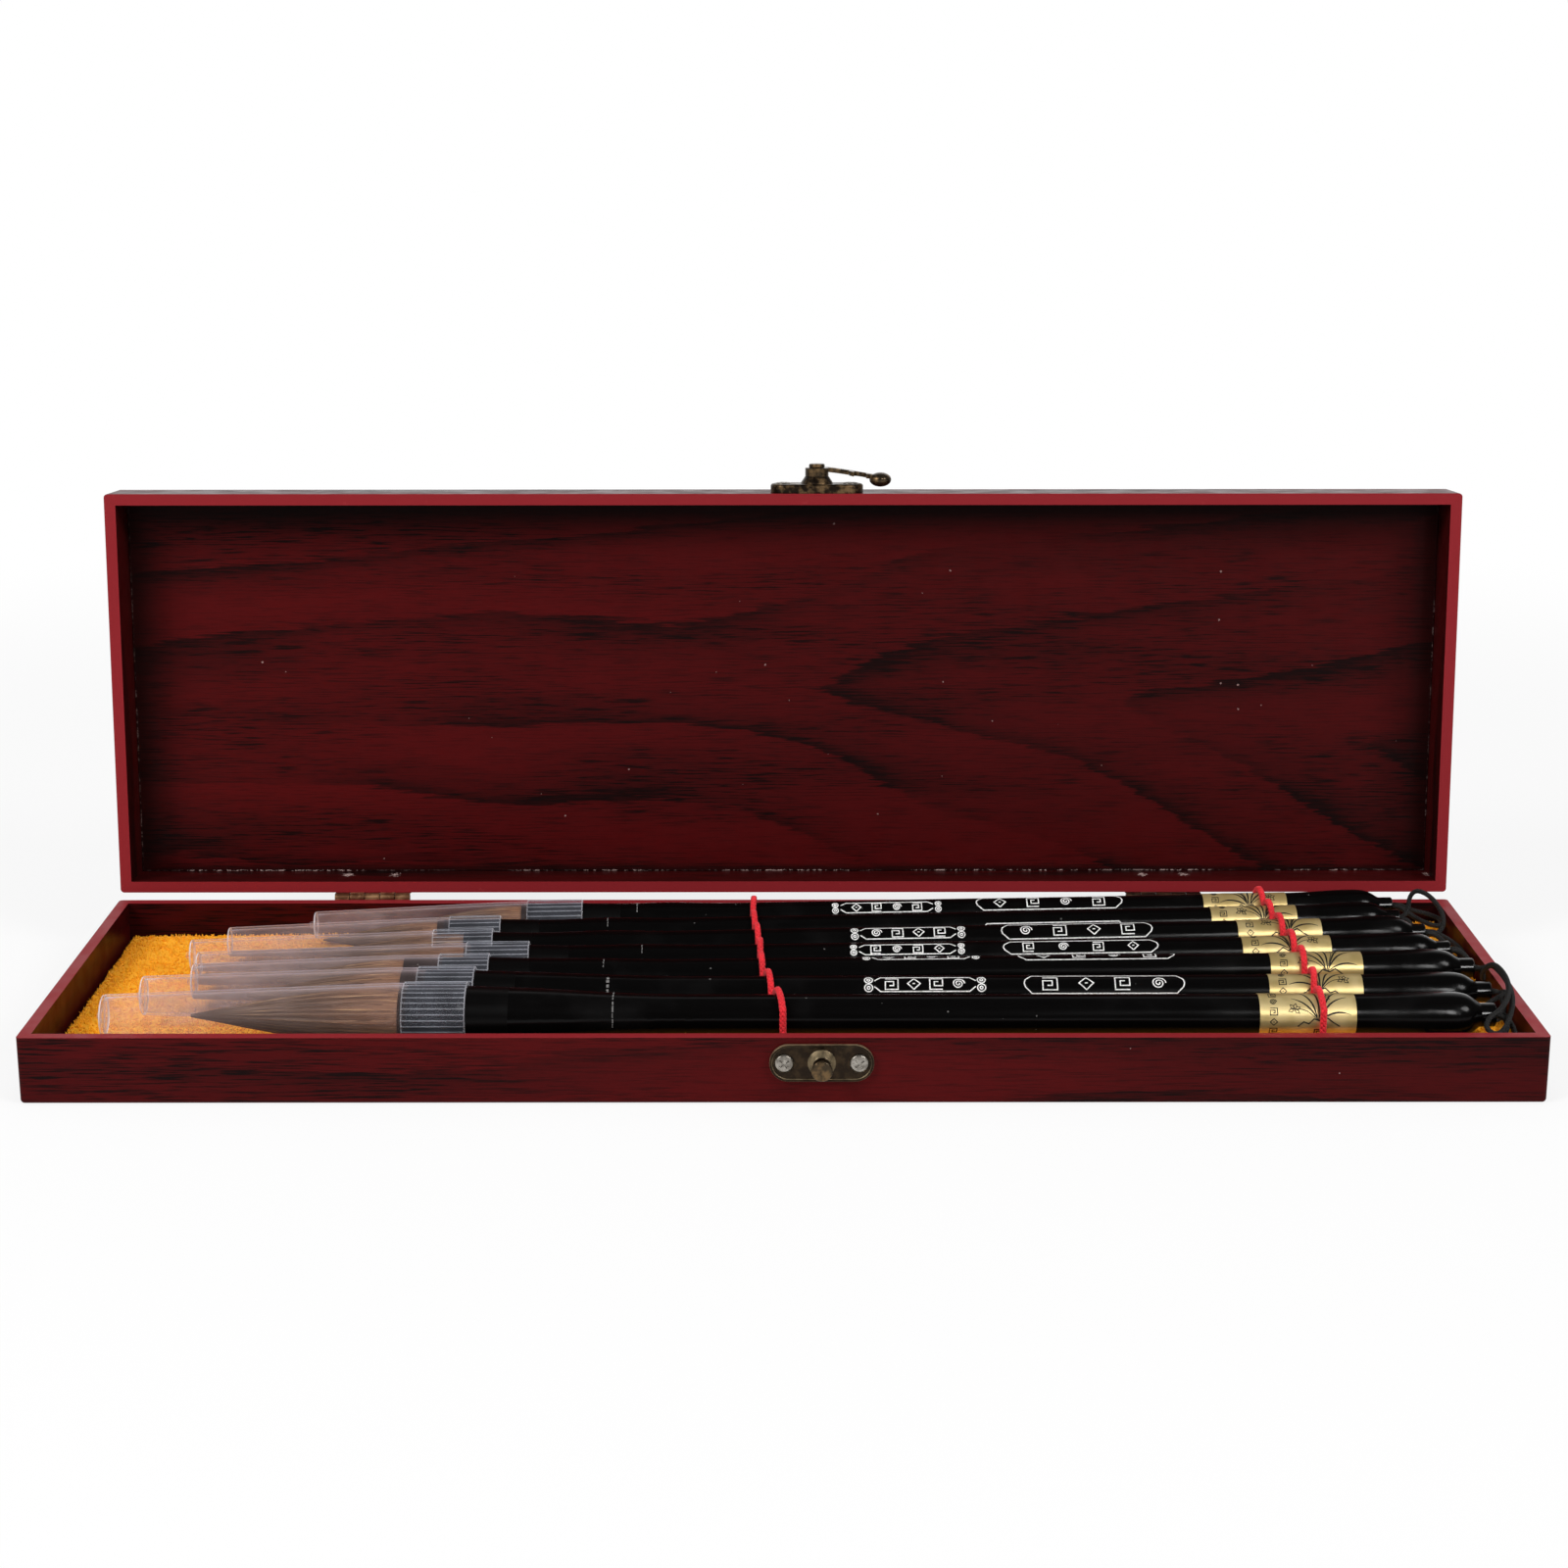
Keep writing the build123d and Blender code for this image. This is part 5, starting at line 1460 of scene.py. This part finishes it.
def tieLine(name, cover, stray):
    # over each barrel and a little down between them, in the CAD cord's upright plane
    low, high = nodeBox(name)
    points = nodePoints(name)
    front, back = points[points[:, 1] < low[1] + 0.5], points[points[:, 1] > high[1] - 0.5]
    startX, endX = front[:, 0].mean(), back[:, 0].mean()
    radius, smoothing = tieStyle["radius"], tieStyle["smoothing"]
    across = np.arange(low[1] + radius, high[1] - radius + 1e-6, tieStyle["step"])
    xs = startX + (endX - startX) * (across - across[0]) / (across[-1] - across[0])
    strayed = np.pad(np.interp(across, tieStyle["strayAt"], stray), smoothing, mode="edge")
    window = 2 * smoothing + 1
    xs = xs + np.convolve(strayed, np.ones(window) / window, mode="valid")
    heights = overBrushes(xs, across, low[2], cover)
    down = [np.array((xs[0], across[0], z)) for z in np.arange(low[2], heights[0], 0.3)]
    up = [np.array((xs[-1], across[-1], z)) for z in np.arange(heights[-1], low[2], -0.3)]
    return np.array(down + list(np.column_stack((xs, across, heights))) + up)


for name, piece, cover in (("left_tie_cord", "leftTie", 0.0), ("right_tie_cord", "rightTie", 0.13)):
    line = tieLine(name, cover, tieStyle[piece.replace("Tie", "Stray")])
    tie = braid(piece, line, tieStyle["radius"], "base")
    tie.data.materials.append(tieThread)
    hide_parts(name)
print("ties braided")

# the points each loop's line is drawn to, from the end of its brush
loopRoutes = (
    (
        (2.6, -2.2, -1.0), (2.2, -4.2, -3.0), (-1.0, -4.9, -4.4), (-7.0, -5.0, -4.7), (-13.0, -5.1, -4.7),
        (-16.6, -5.3, -4.7), (-16.8, -8.7, -4.7), (-13.0, -9.0, -4.7), (-7.0, -9.0, -4.6),
        (-0.8, -8.9, -4.5), (3.2, -7.6, -4.4), (4.3, -4.4, -3.8), (4.1, -1.2, -2.2), (3.0, 0.6, -0.6),
    ),
    (
        (2.7, -2.2, 0.7), (2.3, -5.6, 2.0), (0.9, -9.4, 2.5), (-1.6, -11.0, 2.0), (-4.0, -11.0, 0.2),
        (-5.0, -10.8, -2.2), (-3.8, -10.4, -3.9), (-0.6, -9.4, -4.1), (1.6, -7.0, -4.0),
        (2.8, -4.0, -3.6), (3.1, -1.0, -2.4), (2.9, 0.9, -0.9),
    ),
    (
        (2.6, -2.4, 0.9), (2.8, -6.4, 2.9), (2.7, -11.5, 3.9), (2.8, -17.5, 4.2), (2.7, -24.0, 4.1),
        (2.1, -30.0, 3.7), (1.2, -34.6, 2.9), (-0.2, -38.6, 1.5), (-2.0, -42.2, -0.7), (-4.9, -44.3, -1.8),
        (-7.3, -43.8, -0.2), (-6.3, -41.9, 1.7), (-3.4, -40.1, 2.9), (-0.9, -36.8, 4.0), (1.0, -31.6, 4.9),
        (1.9, -25.6, 5.8), (2.1, -19.1, 6.0), (1.9, -13.5, 5.5), (1.1, -10.0, 4.0), (0.8, -7.0, 1.5),
        (1.2, -5.0, -0.5), (2.0, -3.2, -1.9), (2.8, -0.2, -2.0),
    ),
    (
        (3.4, -2.2, -0.5), (4.2, -5.4, -1.6), (2.2, -8.6, -2.6), (-2.2, -9.6, -3.1), (-7.2, -9.4, -3.3),
        (-11.2, -8.0, -3.4), (-11.2, -4.9, -3.4), (-6.8, -3.9, -3.2), (-2.0, -3.8, -3.2),
        (2.6, -2.8, -3.2), (4.4, 0.2, -2.6), (3.4, 1.9, -1.0),
    ),
    (
        (3.8, -2.0, -0.8), (5.0, -5.2, -2.4), (4.9, -8.6, -3.1), (5.4, -11.8, -3.3), (8.2, -12.0, -3.3),
        (8.6, -8.8, -3.2), (8.6, -4.4, -3.1), (8.0, -0.4, -2.9), (5.9, 2.2, -2.0), (3.4, 1.9, -0.7),
    ),
    (
        (2.9, -1.6, -1.2), (4.6, -4.0, -2.4), (6.8, -7.2, -2.6), (9.6, -8.4, -1.0), (10.6, -6.2, 1.6),
        (9.8, -2.8, 4.2), (7.4, 0.4, 6.5), (4.6, 2.6, 7.0), (3.1, 3.1, 4.6), (3.0, 2.2, 1.6),
    ),
    (
        (3.6, -2.0, -1.0), (6.4, -4.4, -2.6), (9.2, -7.2, -3.2), (11.8, -8.0, -3.3), (12.8, -5.0, -3.3),
        (12.7, -0.6, -3.3), (10.0, 3.0, -3.2), (5.6, 3.3, -2.2), (3.4, 1.9, -0.7),
    ),
)


def splineLine(name, points):
    # the smooth line of a NURBS spline through millimetre control points
    curve = bpy.data.curves.new(name, "CURVE")
    curve.dimensions = "3D"
    curve.resolution_u = 16
    spline = curve.splines.new("NURBS")
    spline.points.add(len(points) - 1)
    for control, point in zip(spline.points, points):
        control.co = (*(np.asarray(point) * mm), 1)
    spline.order_u = 3
    spline.use_endpoint_u = True
    holder = bpy.data.objects.new(name, curve)
    scene.collection.objects.link(holder)
    mesh = bpy.data.meshes.new_from_object(holder)
    line = np.array([tuple(vertex.co) for vertex in mesh.vertices])
    bpy.data.objects.remove(holder)
    bpy.data.meshes.remove(mesh)
    return line


for brush, route in zip(brushes, loopRoutes):
    number = brush["number"]
    leg = -brush["front"] * loopStyle["leg"]
    out = brush["along"] * loopStyle["out"]
    end = brush["origin"] + brush["along"] * brush["plugEnd"]
    controls = [end - leg, end - leg + out, *(end + np.array(step) for step in route)]
    controls += [end + leg + out, end + leg]
    line = splineLine(f"loopLine{number}", controls)
    loop = braid(f"hangingLoop{number}", line / mm, loopStyle["radius"], "base")
    loop.data.materials.append(loopThread)
    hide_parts(f"brush_{number}_hanging_loop")
print("loops laid")

# Floor, backdrop and lights

studio = {
    "floor": (0.86, 0.86, 0.86, 1), "floorSize": 30, "floorHeight": -0.00005,
    "floorGlow": 0.80, "glowReach": (0.35, 0.75), "floorGloss": 0.35,
    "ambient": 0.30, "frontGloss": 0.08, "backGloss": 1.4,
    # each lamp: its place in metres, power and size, and whether it shows in gloss and lights plain surfaces
    "lamps": {
        "leftLamp": ((-1.0, -0.75, 0.95), 12.0, (0.55, 0.55), True, True),
        "rightLamp": ((1.0, -0.75, 0.95), 10.0, (0.55, 0.55), True, True),
        "topLamp": ((0.0, -0.1, 1.3), 4.0, (0.9, 0.9), False, True),
        "glintLamp": ((0.515, -1.19, 0.74), 4.6, (0.10, 0.45), True, False),
    },
}


def makeStage():
    # a floor that takes shadows and turns plain white further out
    bpy.ops.mesh.primitive_plane_add(size=studio["floorSize"], location=(0, 0, studio["floorHeight"]))
    floor = bpy.context.object
    floor.name = "floor"
    material = bpy.data.materials.new("paleFloor")
    tree = emptyTree(material)
    plain = addNode(tree, "ShaderNodeBsdfDiffuse", {"Color": studio["floor"]}).outputs[0]
    glow = addNode(tree, "ShaderNodeEmission", {"Color": (1, 1, 1, 1), "Strength": 1.0}).outputs[0]
    path = addNode(tree, "ShaderNodeLightPath").outputs
    seen = larger(tree, path["Is Camera Ray"], path["Is Transmission Ray"])
    seen = larger(tree, seen, times(tree, path["Is Glossy Ray"], studio["floorGloss"]))
    place = splitVector(tree, objectVector(tree))
    squares = plus(tree, power(tree, place[0], 2.0), power(tree, place[1], 2.0))
    away = rootOf(tree, squares)
    shadowless = stepOf(tree, away, *studio["glowReach"], studio["floorGlow"], 1.0)
    mixed = addNode(tree, "ShaderNodeMixShader", {0: times(tree, seen, shadowless), 1: plain, 2: glow})
    addNode(tree, "ShaderNodeOutputMaterial", {0: mixed.outputs[0]})
    floor.data.materials.append(material)


def makeWorld():
    # white to the camera, even light elsewhere, and brighter behind the box in glossy surfaces
    world = bpy.data.worlds.new("studio")
    scene.world = world
    tree = emptyTree(world)
    direction = splitVector(tree, addNode(tree, "ShaderNodeTexCoord").outputs["Generated"])
    gloss = stepOf(tree, direction[1], 0.45, 0.98, studio["frontGloss"], studio["backGloss"])
    path = addNode(tree, "ShaderNodeLightPath").outputs
    strength = mixValue(tree, path["Is Glossy Ray"], studio["ambient"], gloss)
    shown = mixValue(tree, path["Is Camera Ray"], strength, 1.0)
    sky = addNode(tree, "ShaderNodeBackground", {"Color": (1, 1, 1, 1), "Strength": shown})
    addNode(tree, "ShaderNodeOutputWorld", {0: sky.outputs[0]})


def makeLamp(name, place, power, size, glossy, diffuse):
    lamp = bpy.data.objects.new(name, bpy.data.lights.new(name, "AREA"))
    scene.collection.objects.link(lamp)
    lamp.data.energy = power
    lamp.data.shape = "ELLIPSE"
    lamp.data.size, lamp.data.size_y = size
    lamp.visible_glossy, lamp.visible_diffuse = glossy, diffuse
    lamp.location = place
    lamp.rotation_euler = (-Vector(place)).to_track_quat("-Z", "Y").to_euler()


makeStage()
makeWorld()
for name, lamp in studio["lamps"].items():
    makeLamp(name, *lamp)
print("studio lit")
